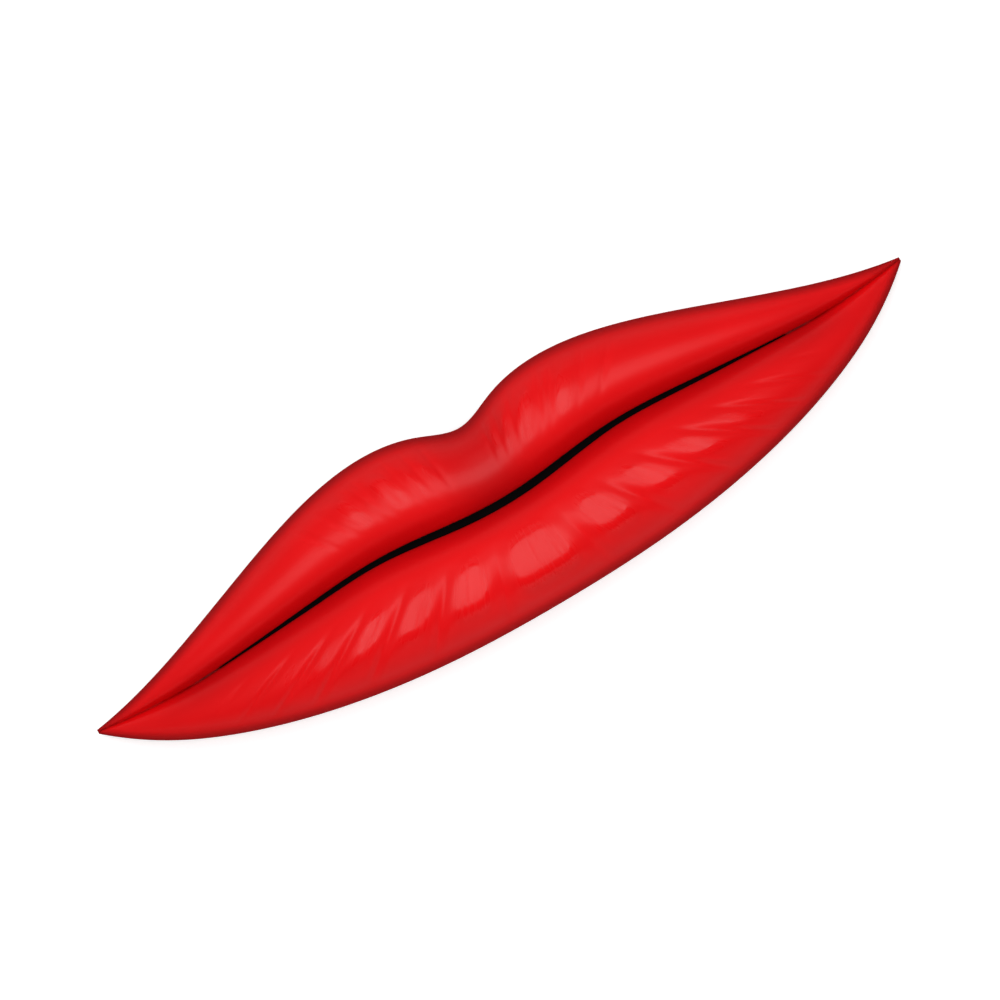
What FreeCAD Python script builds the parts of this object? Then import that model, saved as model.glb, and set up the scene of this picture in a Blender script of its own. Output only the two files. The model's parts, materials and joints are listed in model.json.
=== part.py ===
import FreeCAD, Part
import math
import os
from types import SimpleNamespace

import Sketcher
from FreeCAD import Placement, Rotation, Vector

# A one-piece desk telephone shaped as a pair of lips, in millimetres.
# X runs from tip to tip with the earpiece at +X, +Y is the upper lip, +Z is up from the table.
# It lies lips-up on its feet; the keys, earpiece and microphone are on the underside.

SIZES = {
    # lip form
    "upper_lip_rise": 26.2,
    "bow_notch_rise": 20.1,
    "lower_lip_drop": 31.8,
    "upper_lip_height": 41.0,
    "lower_lip_height": 44.0,
    "bow_dip": 3.0,
    "bow_width": 11.0,
    "widest_height": 18.0,
    "rim_undercut": 3.0,
    "mouth_depth": 9.0,
    "mouth_sway": 2.0,
    "tip_reach": 28.1,
    "tip_width": 1.2,
    "tip_height": 1.6,
    # shell and mouth line
    "shell_wall": 2.5,
    "rim_overcut": 0.5,
    "tip_solid": 16.0,
    "cavity_end_height": 8.0,
    "mouth_line_width": 2.2,
    "mouth_line_reach": 84.0,
    "mouth_groove_depth": 1.5,
    "mouth_strip_rise": 1.0,
    "mouth_strip_clearance": 0.08,
    # base plate and feet
    "foot_height": 2.0,
    "foot_radius": 4.0,
    "foot_recess": 0.8,
    "foot_clearance": 0.1,
    "foot_edge": 0.5,
    "plate_thickness": 2.5,
    "plate_clearance": 0.25,
    # screws
    "screw_radius": 1.1,
    "screw_head_radius": 2.6,
    "screw_head_height": 1.4,
    "screw_hole_clearance": 0.3,
    "screw_recess_clearance": 0.2,
    "pilot_clearance": 0.05,
    "boss_radius": 3.5,
    "boss_screw_depth": 6.0,
    "tip_boss_gap": 1.5,
    "end_drop": 4.0,
    "side_screw_offset": 12.0,
    # circuit board
    "board_standoff": 8.0,
    "board_thickness": 1.6,
    "board_post_radius": 2.5,
    "board_margin": 1.5,
    "board_screw_depth": 5.0,
    # keypad
    "key_length": 8.0,
    "key_width": 9.0,
    "key_row_gap": 3.0,
    "key_column_gap": 2.5,
    "key_proud": 1.2,
    "key_clearance": 0.25,
    "key_corner": 1.6,
    "key_edge_round": 0.5,
    "key_flange": 1.0,
    "key_flange_thickness": 1.1,
    "key_stem_radius": 1.6,
    "function_row_gap": 3.5,
    "mat_thickness": 1.0,
    "mat_margin": 2.0,
    "dome_height": 1.6,
    "dome_radius": 3.2,
    # hook switch
    "hook_head_radius": 5.0,
    "hook_head_height": 7.8,
    "hook_head_edge": 0.6,
    "hook_flange": 1.5,
    "hook_flange_thickness": 1.2,
    "hook_stem_radius": 1.5,
    "hook_stem_rise": 4.3,
    "hook_stem_tip": 0.7,
    "hook_clearance": 0.3,
    "hook_gap": 3.0,
    "spring_wire": 0.5,
    "spring_turns": 3.0,
    "spring_seat_gap": 0.05,
    "spring_stem_gap": 1.75,
    "lever_arm": 9.0,
    "lever_overhang": 2.0,
    "lever_width": 5.0,
    "lever_thickness": 0.6,
    "lever_gap": 0.15,
    "lever_barrel_radius": 1.2,
    "lever_pin_radius": 0.5,
    "lever_pin_clearance": 0.05,
    "bracket_wall": 1.0,
    "bracket_side_gap": 0.3,
    "bracket_length": 5.0,
    "bracket_cover": 1.0,
    # slide switches
    "switch_length": 12.0,
    "switch_width": 6.0,
    "switch_height": 5.5,
    "switch_floor": 1.4,
    "switch_spacing": 14.0,
    "switch_gap": 5.0,
    "slider_length": 6.0,
    "slider_width": 3.6,
    "slider_height": 2.2,
    "slider_clearance": 0.2,
    "knob_length": 3.0,
    "knob_width": 2.4,
    "knob_proud": 0.8,
    "knob_clearance": 0.3,
    "ringer_travel": 4.0,
    "dial_mode_travel": 3.0,
    # earpiece
    "receiver_radius": 11.0,
    "receiver_height": 6.5,
    "receiver_wall": 1.2,
    "receiver_step": 0.6,
    "receiver_clearance": 0.1,
    "receiver_ring_wall": 1.3,
    "receiver_ring_height": 4.0,
    "diaphragm_thickness": 0.2,
    "magnet_radius": 5.0,
    "magnet_height": 2.6,
    "gasket_thickness": 0.6,
    "gasket_width": 3.9,
    "clamp_width": 8.0,
    "clamp_thickness": 1.4,
    "clamp_end": 3.0,
    "clamp_gap": 2.5,
    "ear_dish_radius": 12.0,
    "ear_dish_depth": 1.0,
    "ear_dish_slope": 3.0,
    "sound_hole_radius": 0.8,
    "sound_hole_pitch": 3.2,
    # microphone
    "microphone_radius": 4.85,
    "microphone_height": 6.0,
    "boot_wall": 1.6,
    "boot_floor": 0.8,
    "boot_lip": 0.7,
    "boot_clearance": 0.1,
    "boot_ring_wall": 1.1,
    "boot_ring_height": 3.0,
    "microphone_hole_radius": 0.6,
    "microphone_hole_pitch": 1.8,
    "microphone_gap": 1.0,
    # ringer
    "ringer_radius": 10.5,
    "ringer_height": 6.0,
    "ringer_wall": 1.2,
    "ringer_step": 0.8,
    "ringer_disc_thickness": 0.4,
    "ringer_clearance": 0.1,
    "ringer_ring_wall": 1.2,
    "ringer_ring_height": 2.0,
    "ringer_gap": 3.0,
    # line socket
    "jack_width": 13.0,
    "jack_depth": 14.0,
    "jack_height": 12.0,
    "jack_setback": 0.3,
    "jack_window_clearance": 0.3,
    "socket_width": 9.9,
    "socket_height": 6.9,
    "socket_depth": 12.5,
    "socket_roof": 1.6,
    "latch_width": 6.2,
    "latch_height": 2.0,
    "latch_depth": 10.0,
    "jack_contact_width": 0.5,
    "jack_contact_thickness": 0.5,
    "jack_contact_length": 8.0,
    "jack_contact_pitch": 1.27,
    "jack_rib": 1.2,
    "jack_rib_height": 4.0,
    "jack_rib_clearance": 0.1,
    # ballast
    "ballast_length": 56.0,
    "ballast_width": 12.0,
    "ballast_height": 8.0,
    "ballast_room": 8.0,
    "ballast_offset": 10.0,
    "ballast_screw_inset": 6.0,
    # parts on the board
    "chip_length": 23.0,
    "chip_width": 6.4,
    "chip_height": 3.4,
    "chip_lift": 0.5,
    "chip_leg_pitch": 2.54,
    "chip_leg_width": 0.6,
    "capacitor_radius": 3.0,
    "capacitor_height": 7.0,
    "capacitor_groove": 0.3,
    "crystal_length": 11.0,
    "crystal_width": 4.6,
    "crystal_height": 3.6,
    "crystal_corner": 2.0,
    "lead_radius": 0.5,
    "lead_spacing": 2.2,
    "lead_rise": 3.5,
}

# Lip outlines: share of the half length, then share of the height of that outline.
UPPER_LOBE_SHARES = ((0.225, 1.0), (0.36, 0.917), (0.52, 0.695), (0.70, 0.395), (0.87, 0.145))
BOW_SHOULDER_SHARES = (0.085, 0.53)
LOWER_CURVE_SHARES = ((0.0, 1.0), (0.29, 0.957), (0.54, 0.811), (0.75, 0.574), (0.90, 0.297))
MOUTH_WAVE_SHARES = (
    (0.0, -1.0), (0.10, -0.675), (0.28, 0.475), (0.46, 0.075),
    (0.67, -0.75), (0.78, -1.0), (0.90, -0.65), (1.0, 0.0),
)
MOUTH_TAPER_SHARES = ((0.0, 1.0), (0.24, 0.97), (0.42, 0.74), (0.60, 0.66), (0.83, 0.40), (1.0, 0.18))
SECTION_SHARES = (0.06, 0.12, 0.19, 0.27, 0.36, 0.46, 0.56, 0.66, 0.75, 0.83, 0.90, 0.95, 0.985, 1.0)
LIP_FULLNESS = 2.3
SWELL_POWER = 0.8
ARC_STEPS = 8
LEAD_ARC_SHARE = 0.45
LEVEL_SLACK = 1e-6

KEY_ROWS = (("1", "2", "3"), ("4", "5", "6"), ("7", "8", "9"), ("star", "0", "hash"))
FUNCTION_KEYS = ("redial", "flash", "mute")
SOUND_RINGS = ((1, 0), (6, 1), (12, 2))
CHIP_LEGS_PER_SIDE = 9
JACK_CONTACTS = 4
SIDES = (-1, 1)

doc = FreeCAD.newDocument("lips_telephone")
pieces = []


class Size:
    """A length: its value in millimetres and the expression that ties it to the sheet."""

    def __init__(self, value, text):
        self.value = value
        self.text = text

    def __add__(self, other):
        other = as_size(other)
        return Size(self.value + other.value, f"({self.text} + {other.text})")

    def __sub__(self, other):
        other = as_size(other)
        return Size(self.value - other.value, f"({self.text} - {other.text})")

    def __mul__(self, factor):
        return Size(self.value * factor, f"({self.text} * {factor})")

    def __truediv__(self, factor):
        return Size(self.value / factor, f"({self.text} / {factor})")

    def __neg__(self):
        return self * -1


def as_size(length):
    """Turn a plain number into a Size."""
    if isinstance(length, Size):
        return length
    return Size(float(length), str(float(length)))


def larger(first, second):
    """The larger of two sizes."""
    return Size(max(first.value, second.value), f"max({first.text}; {second.text})")


def make_sheet():
    """Write the driving dimensions into the sheet and return them as sizes."""
    sheet = doc.addObject("Spreadsheet::Sheet", "dims")
    for row, (name, value) in enumerate(SIZES.items(), start=1):
        sheet.set(f"A{row}", name)
        sheet.set(f"B{row}", str(value))
        sheet.setAlias(f"B{row}", name)
    doc.recompute()
    return SimpleNamespace(**{name: Size(float(sheet.get(name)), f"dims.{name}") for name in SIZES})


def bind(item, prop, size):
    """Tie one property of an object to a size."""
    item.setExpression(prop, as_size(size).text)


def place(item, x, y, z):
    """Tie an object's position to sizes."""
    bind(item, "Placement.Base.x", x)
    bind(item, "Placement.Base.y", y)
    bind(item, "Placement.Base.z", z)


def about(centre, width):
    """The two ends of a span with the given centre and width."""
    return centre - width / 2, centre + width / 2


def block(name, x, y, z):
    """A box between a low and a high end along each axis."""
    item = doc.addObject("Part::Box", name)
    bind(item, "Length", x[1] - x[0])
    bind(item, "Width", y[1] - y[0])
    bind(item, "Height", z[1] - z[0])
    place(item, x[0], y[0], z[0])
    return item


def rod(name, x, y, z, radius):
    """An upright cylinder between two levels."""
    item = doc.addObject("Part::Cylinder", name)
    bind(item, "Radius", radius)
    bind(item, "Height", z[1] - z[0])
    place(item, x, y, z[0])
    return item


def cross_rod(name, x, y, z, radius):
    """A cylinder along Y between two ends."""
    item = doc.addObject("Part::Cylinder", name)
    item.Placement = Placement(Vector(), Rotation(Vector(1, 0, 0), -90))
    bind(item, "Radius", radius)
    bind(item, "Height", y[1] - y[0])
    place(item, x, y[0], z)
    return item


def taper(name, x, y, z, low_radius, high_radius):
    """An upright cone between two levels."""
    item = doc.addObject("Part::Cone", name)
    bind(item, "Radius1", low_radius)
    bind(item, "Radius2", high_radius)
    bind(item, "Height", z[1] - z[0])
    place(item, x, y, z[0])
    return item


def rounded_block(name, x, y, z, corner, edge_round=None):
    """A box with rounded upright corners and, if asked, a rounded lower edge."""
    blank = block(f"{name}_blank", x, y, z)
    blank.recompute()
    rounds = []
    for number, edge in enumerate(blank.Shape.Edges, start=1):
        levels = [vertex.Z for vertex in edge.Vertexes]
        if max(levels) - min(levels) > LEVEL_SLACK:
            rounds.append((number, corner.value, corner.value))
        elif edge_round is not None and levels[0] < z[1].value - LEVEL_SLACK:
            rounds.append((number, edge_round.value, edge_round.value))
    item = doc.addObject("Part::Fillet", name)
    item.Base = blank
    item.Edges = rounds
    return item


def fuse(name, shapes):
    """Join solids into one."""
    item = doc.addObject("Part::MultiFuse", name)
    item.Shapes = shapes
    return item


def common(name, shapes):
    """Keep what the given solids share."""
    item = doc.addObject("Part::MultiCommon", name)
    item.Shapes = shapes
    return item


def cut(name, base, tools):
    """Take the tools out of a solid."""
    item = doc.addObject("Part::Cut", name)
    item.Base = base
    item.Tool = tools[0] if len(tools) == 1 else fuse(f"{name}_tools", tools)
    return item


def group(name, shapes):
    """Hold separate solids together as one sub-part."""
    item = doc.addObject("Part::Compound", name)
    item.Links = shapes
    return item


def feature(name, shape):
    """A sub-part whose shape is worked out here."""
    item = doc.addObject("Part::Feature", name)
    item.Shape = shape
    return item


def turned(name, x, y, profile):
    """A body turned about an upright axis from (radius, level) corners."""
    body = doc.addObject("PartDesign::Body", name)
    place(body, x, y, 0)
    sketch = body.newObject("Sketcher::SketchObject", f"{name}_profile")
    planes = [plane for plane in body.Origin.OriginFeatures if plane.Role == "XZ_Plane"]
    sketch.AttachmentSupport = [(planes[0], "")]
    sketch.MapMode = "FlatFace"
    corners = [(as_size(radius), as_size(level)) for radius, level in profile]
    count = len(corners)
    for index, start in enumerate(corners):
        end = corners[(index + 1) % count]
        low = Vector(start[0].value, start[1].value, 0)
        high = Vector(end[0].value, end[1].value, 0)
        sketch.addGeometry(Part.LineSegment(low, high), False)
    for index in range(count):
        sketch.addConstraint(Sketcher.Constraint("Coincident", index, 2, (index + 1) % count, 1))
    for index, (radius, level) in enumerate(corners):
        across = sketch.addConstraint(Sketcher.Constraint("DistanceX", -1, 1, index, 1, radius.value))
        sketch.setExpression(f"Constraints[{across}]", radius.text)
        along = sketch.addConstraint(Sketcher.Constraint("DistanceY", -1, 1, index, 1, level.value))
        sketch.setExpression(f"Constraints[{along}]", level.text)
    turn = body.newObject("PartDesign::Revolution", f"{name}_turn")
    turn.Profile = sketch
    turn.ReferenceAxis = (sketch, ["V_Axis"])
    turn.Angle = 360
    sketch.Visibility = False
    return body


def hand_in(label, item):
    """Name a finished sub-part; the label is also its file's name."""
    item.Label = label
    pieces.append(item)
    return item


def smooth_line(half, shares):
    """A symmetric smooth curve through (share of half, height) points, as a function of x."""
    right = [(share * half, height) for share, height in shares]
    left = [(-x, height) for x, height in reversed(right) if x > 0]
    points = left + right
    curve = Part.BSplineCurve()
    curve.interpolate(Points=[Vector(x, y, 0) for x, y in points], Parameters=[x for x, y in points])
    return lambda x: curve.value(x).y


def spline_edge(points):
    """One smooth edge through points at even parameters."""
    last = len(points) - 1
    curve = Part.BSplineCurve()
    curve.interpolate(Points=points, Parameters=[index / last for index in range(len(points))])
    return curve.toShape()


def bent_edge(start, control, end):
    """A gently bent edge."""
    curve = Part.BezierCurve()
    curve.setPoles([start, control, end])
    return curve.toShape()


class LipForm:
    """The lip volume, set in by a wall all round, built from sections across its length."""

    def __init__(self, inset=0, tip_cut=0, rim_drop=0, end_height=None):
        rise = d.upper_lip_rise.value - inset
        notch = d.bow_notch_rise.value - inset
        drop = d.lower_lip_drop.value - inset
        tip = d.tip_width.value / 2
        self.inset = inset
        self.end_height = end_height or d.tip_height.value
        self.half = at.half_length.value - tip_cut
        self.rim = at.plate_bottom.value - rim_drop
        self.lower_top = d.lower_lip_height.value - inset
        self.upper_top = d.upper_lip_height.value - inset
        groove = d.mouth_groove_depth.value if inset > 0 else 0
        self.valley = self.upper_top - d.mouth_depth.value - groove
        shoulder = (BOW_SHOULDER_SHARES[0], notch + BOW_SHOULDER_SHARES[1] * (rise - notch))
        lobe = [(share, height * rise) for share, height in UPPER_LOBE_SHARES]
        belly = [(share, -height * drop) for share, height in LOWER_CURVE_SHARES]
        wave = [(share, height * d.mouth_sway.value) for share, height in MOUTH_WAVE_SHARES]
        self.upper_line = smooth_line(self.half, [(0, notch), shoulder] + lobe + [(1, tip)])
        self.lower_line = smooth_line(self.half, belly + [(1, -tip)])
        self.mouth_line = smooth_line(self.half, wave)

    def fullness(self, x):
        """How full the section at x is: 1 in the middle, 0 at the tips."""
        share = min(abs(x) / self.half, 1)
        return (1 - share * share) ** SWELL_POWER

    def swell(self, x):
        """How far the section at x has grown: 1 in the middle, a little at the tips."""
        least = self.end_height / (self.lower_top - self.rim)
        return least + (1 - least) * self.fullness(x)

    def level(self, x, top):
        """The height at x of a line that is at top in the middle."""
        return self.rim + (top - self.rim) * self.swell(x)

    def mouth_point(self, x):
        """The bottom of the valley between the lips."""
        return Vector(x, at.tip_y.value + self.mouth_line(x), self.level(x, self.valley))

    def rim_points(self, x):
        """The lower and upper ends of the open rim at x."""
        undercut = d.rim_undercut.value * self.fullness(x)
        lower = at.tip_y.value + self.lower_line(x) + undercut
        upper = at.tip_y.value + self.upper_line(x) - undercut
        return Vector(x, lower, self.rim), Vector(x, upper, self.rim)

    def lip_arc(self, edge_y, top, mouth):
        """Points over one lip, from its widest edge to the valley."""
        x = mouth.x
        widest = self.level(x, d.widest_height.value)
        bend = 2 / LIP_FULLNESS
        end = math.pi - math.asin(((mouth.z - widest) / (top - widest)) ** (1 / bend))
        reach = (mouth.y - edge_y) / (1 + abs(math.cos(end)) ** bend)
        points = []
        for step in range(ARC_STEPS + 1):
            angle = end * step / ARC_STEPS
            across = math.copysign(abs(math.cos(angle)) ** bend, math.cos(angle))
            rise = math.sin(angle) ** bend
            points.append(Vector(x, edge_y + reach * (1 - across), widest + (top - widest) * rise))
        points[-1] = mouth
        return points

    def section(self, x):
        """The closed outline across the lips at x."""
        upper_y = at.tip_y.value + self.upper_line(x)
        lower_y = at.tip_y.value + self.lower_line(x)
        dip = d.bow_dip.value * math.exp(-(x / d.bow_width.value) ** 2)
        floor = Vector(0, self.inset * self.swell(x), 0)
        mouth = self.mouth_point(x)
        lower_arc = self.lip_arc(lower_y, self.level(x, self.lower_top), mouth - floor)
        upper_arc = self.lip_arc(upper_y, self.level(x, self.upper_top - dip), mouth + floor)
        upper_arc.reverse()
        rim_lower, rim_upper = self.rim_points(x)
        middle = (self.rim + lower_arc[0].z) / 2
        edges = [
            Part.LineSegment(rim_upper, rim_lower).toShape(),
            bent_edge(rim_lower, Vector(x, lower_y, middle), lower_arc[0]),
            spline_edge(lower_arc),
        ]
        if self.inset > 0:
            edges.append(Part.LineSegment(lower_arc[-1], upper_arc[0]).toShape())
        edges.append(spline_edge(upper_arc))
        edges.append(bent_edge(upper_arc[-1], Vector(x, upper_y, middle), rim_upper))
        return Part.Wire(edges)

    def stations(self):
        """The places of the sections, from tip to tip."""
        right = [share * self.half for share in SECTION_SHARES]
        return [-x for x in reversed(right)] + [0.0] + right

    def solid(self):
        """The whole lip volume."""
        return Part.makeLoft([self.section(x) for x in self.stations()], True, False)

    def rim_face(self):
        """The flat area inside the rim."""
        ends = [self.rim_points(x) for x in self.stations()]
        lower = [low for low, high in ends]
        upper = [high for low, high in ends]
        edges = [
            spline_edge(lower),
            Part.LineSegment(lower[-1], upper[-1]).toShape(),
            spline_edge(upper),
            Part.LineSegment(upper[0], lower[0]).toShape(),
        ]
        return Part.Face(Part.Wire(Part.__sortEdges__(edges)))


def work_out_levels():
    """Levels from the table up."""
    at.plate_bottom = d.foot_height
    at.plate_top = at.plate_bottom + d.plate_thickness
    at.board_bottom = at.plate_top + d.board_standoff
    at.board_top = at.board_bottom + d.board_thickness
    at.mat_bottom = at.board_bottom - d.mat_thickness
    at.dome_bottom = at.mat_bottom - d.dome_height
    at.key_bottom = at.plate_bottom - d.key_proud
    at.flange_top = at.plate_top + d.key_flange_thickness
    at.hook_flange_top = d.hook_head_height + d.hook_flange_thickness
    at.hook_tip = at.board_top + d.hook_stem_rise
    at.lever_bottom = at.hook_tip + d.lever_gap
    at.pivot_z = at.lever_bottom + d.lever_thickness / 2
    at.ballast_bottom = at.board_top + d.ballast_room
    at.ballast_top = at.ballast_bottom + d.ballast_height
    at.receiver_bottom = at.plate_top + d.gasket_thickness
    at.receiver_top = at.receiver_bottom + d.receiver_height
    at.clamp_top = at.receiver_top + d.clamp_thickness


def work_out_places():
    """Places along X, from the keypad outwards, and the lines along Y."""
    row_pitch = d.key_length + d.key_row_gap
    at.column_pitch = d.key_width + d.key_column_gap
    at.tip_y = (d.lower_lip_drop - d.upper_lip_rise) / 2
    at.keypad_y = at.tip_y + (d.bow_notch_rise - d.lower_lip_drop) / 2
    at.row_x = [row_pitch * (1.5 - row) for row in range(len(KEY_ROWS))]
    at.column_y = [at.keypad_y + at.column_pitch * (column - 1) for column in range(3)]
    at.function_x = at.row_x[0] + d.key_length + d.function_row_gap
    key_reach = d.key_length / 2 + d.key_flange
    at.keypad_half_width = at.column_pitch + d.key_width / 2 + d.key_flange
    hook_flange_radius = d.hook_head_radius + d.hook_flange
    at.hook_x = at.row_x[-1] - key_reach - d.hook_gap - hook_flange_radius
    at.left_post_x = at.hook_x - hook_flange_radius - d.board_post_radius
    at.right_post_x = at.function_x + key_reach + d.board_margin + d.board_post_radius
    at.switch_x = at.right_post_x + d.switch_gap
    at.board_left = at.left_post_x - d.board_post_radius - d.board_margin
    at.board_right = at.switch_x + d.switch_length / 2
    at.board_low = at.keypad_y - at.keypad_half_width - d.board_margin
    at.board_high = at.keypad_y + at.keypad_half_width + d.board_margin
    at.clamp_reach = d.receiver_radius + d.receiver_ring_wall + d.board_post_radius
    clamp_half = at.clamp_reach + d.clamp_end
    at.receiver_x = at.board_right + d.clamp_gap + clamp_half
    ringer_reach = d.ringer_radius + d.ringer_clearance + d.ringer_ring_wall
    boot_reach = d.microphone_radius + d.boot_wall + d.boot_clearance + d.boot_ring_wall
    at.ringer_x = at.board_left - d.ringer_gap - ringer_reach
    at.microphone_x = at.ringer_x - ringer_reach - d.microphone_gap - boot_reach
    earpiece_end = at.receiver_x + clamp_half
    mouthpiece_end = -(at.microphone_x - boot_reach)
    at.tip_screw_x = larger(earpiece_end, mouthpiece_end) + d.tip_boss_gap + d.boss_radius
    at.right_screw_x = at.board_right + d.board_margin + d.boss_radius
    at.left_screw_x = at.board_left - d.board_margin - d.boss_radius
    at.half_length = at.tip_screw_x + d.tip_reach
    at.end_y = at.tip_y - d.end_drop
    at.side_screw_y = at.keypad_y - d.side_screw_offset
    at.ballast_y = at.keypad_y - d.ballast_offset


def jack_places():
    """Where the line socket stands, close behind the upper lip's wall."""
    at.jack_x = at.hook_x
    reach = d.jack_width / 2
    rims = [skin.rim_points((at.jack_x + reach * side).value)[1].y for side in SIDES]
    at.jack_front = as_size(min(rims)) - d.jack_setback
    at.jack_back = at.jack_front - d.jack_depth
    at.jack_top = at.plate_top + d.jack_height
    at.socket_top = at.jack_top - d.socket_roof
    at.socket_bottom = at.socket_top - d.socket_height


def screw_up(name, x, y, head_bottom, length):
    """A screw driven upwards, its head at the bottom."""
    head_top = head_bottom + d.screw_head_height
    return turned(name, x, y, [
        (0, head_bottom), (d.screw_head_radius, head_bottom), (d.screw_head_radius, head_top),
        (d.screw_radius, head_top), (d.screw_radius, head_top + length), (0, head_top + length),
    ])


def screw_down(name, x, y, seat, length):
    """A screw driven downwards, its head on the seat."""
    head_top = seat + d.screw_head_height
    return turned(name, x, y, [
        (0, seat - length), (d.screw_radius, seat - length), (d.screw_radius, seat),
        (d.screw_head_radius, seat), (d.screw_head_radius, head_top), (0, head_top),
    ])


def housing_screw_places():
    """The four screws that hold the base plate to the shell."""
    return [
        (-at.tip_screw_x, at.end_y),
        (at.left_screw_x, at.side_screw_y),
        (at.right_screw_x, at.side_screw_y),
        (at.tip_screw_x, at.end_y),
    ]


def ballast_screw_places():
    """The two screws that hold the ballast bar."""
    reach = d.ballast_length / 2 - d.ballast_screw_inset
    return [(reach * side, at.ballast_y) for side in SIDES]


def board_post_places():
    """The four posts that carry the circuit board."""
    right_low = at.board_low + d.board_post_radius + d.board_margin / 2
    right_high = at.board_high - d.board_post_radius - d.board_margin / 2
    left_high = at.jack_back - d.jack_rib - d.jack_rib_clearance - d.board_post_radius
    return [
        (at.right_post_x, right_low),
        (at.right_post_x, right_high),
        (at.left_post_x, right_low),
        (at.left_post_x, left_high),
    ]


def foot_places():
    """Two feet under each lip."""
    wide_x = at.right_screw_x - d.foot_radius
    low_x = at.right_post_x
    high_y = at.board_high - d.foot_radius / 2
    low_y = at.board_low + d.foot_radius
    return [(wide_x, high_y), (-wide_x, high_y), (low_x, low_y), (-low_x, low_y)]


def make_lips_shell():
    """The moulded housing: both lips in one hollow shell with bosses inside."""
    wall = d.shell_wall.value
    cavity = LipForm(wall, d.tip_solid.value, d.rim_overcut.value, d.cavity_end_height.value)
    outer = feature("outer_form", skin.solid())
    inner = feature("inner_form", cavity.solid())
    middle = feature("middle_form", LipForm(wall / 2, wall / 2).solid())
    hollow = cut("hollow_lips", outer, [inner])
    bosses = []
    holes = []
    for number, (x, y) in enumerate(housing_screw_places()):
        tall = (at.plate_top, d.lower_lip_height)
        bosses.append(rod(f"housing_boss_{number}", x, y, tall, d.boss_radius))
        deep = (at.plate_top, at.plate_top + d.boss_screw_depth + d.screw_radius)
        holes.append(rod(f"housing_pilot_{number}", x, y, deep, d.screw_radius + d.pilot_clearance))
    for number, (x, y) in enumerate(ballast_screw_places()):
        tall = (at.ballast_top, d.lower_lip_height)
        bosses.append(rod(f"ballast_boss_{number}", x, y, tall, d.boss_radius))
        deep = (at.ballast_top, at.ballast_top + d.boss_screw_depth + d.screw_radius)
        holes.append(rod(f"ballast_pilot_{number}", x, y, deep, d.screw_radius + d.pilot_clearance))
    trimmed = common("trimmed_bosses", [group("bosses", bosses), middle])
    holes.append(jack_window())
    holes.append(feature("mouth_groove", mouth_bar(0, d.mouth_depth.value)))
    hand_in("lips_shell", cut("lips_shell", fuse("lips_with_bosses", [hollow, trimmed]), holes))


def jack_window():
    """The opening in the upper lip's wall in front of the line socket."""
    width = d.jack_width + d.jack_window_clearance * 2
    inside = at.jack_front - d.shell_wall * 2
    outside = at.tip_y + d.upper_lip_rise + d.shell_wall
    high = at.jack_top + d.jack_window_clearance
    return block("jack_window", about(at.jack_x, width), (inside, outside), (as_size(0), high))


def mouth_bar(clearance, rise):
    """A bar along the valley between the lips, narrowing towards the tips."""
    reach = d.mouth_line_reach.value
    taper_line = smooth_line(reach, MOUTH_TAPER_SHARES)
    wires = []
    for share in [-share for share in reversed(SECTION_SHARES)] + [0.0] + list(SECTION_SHARES):
        x = share * (reach - clearance)
        half = d.mouth_line_width.value * taper_line(x) / 2 - clearance
        mouth = skin.mouth_point(x)
        low = mouth.z - d.mouth_groove_depth.value + clearance
        high = mouth.z + rise
        corners = [
            Vector(x, mouth.y - half, low), Vector(x, mouth.y + half, low),
            Vector(x, mouth.y + half, high), Vector(x, mouth.y - half, high),
        ]
        wires.append(Part.makePolygon(corners + corners[:1]))
    return Part.makeLoft(wires, True, False)


def make_mouth_line_strip():
    """The black strip inlaid between the lips."""
    strip = mouth_bar(d.mouth_strip_clearance.value, d.mouth_strip_rise.value)
    hand_in("mouth_line_strip", feature("mouth_line_strip", strip))


def key_places():
    """Every key with its name and centre."""
    places = []
    for x, names in zip(at.row_x, KEY_ROWS):
        for y, name in zip(at.column_y, names):
            places.append((f"key_{name}", x, y))
    for y, name in zip(at.column_y, FUNCTION_KEYS):
        places.append((f"key_{name}", at.function_x, y))
    return places


def switch_places():
    """The two slide switches: name, line along Y and travel."""
    return [
        ("ringer_switch", at.keypad_y + d.switch_spacing / 2, d.ringer_travel),
        ("dial_mode_switch", at.keypad_y - d.switch_spacing / 2, d.dial_mode_travel),
    ]


def sound_holes(name, x, y, rings, radius, pitch):
    """Small holes through the plate, in rings."""
    through = (at.plate_bottom - d.foot_height, at.plate_top + d.foot_height)
    holes = []
    for count, ring in rings:
        for index in range(count):
            angle = 2 * math.pi * index / count
            hole_x = x + pitch * ring * math.cos(angle)
            hole_y = y + pitch * ring * math.sin(angle)
            holes.append(rod(f"{name}_{ring}_{index}", hole_x, hole_y, through, radius))
    return holes


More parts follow.
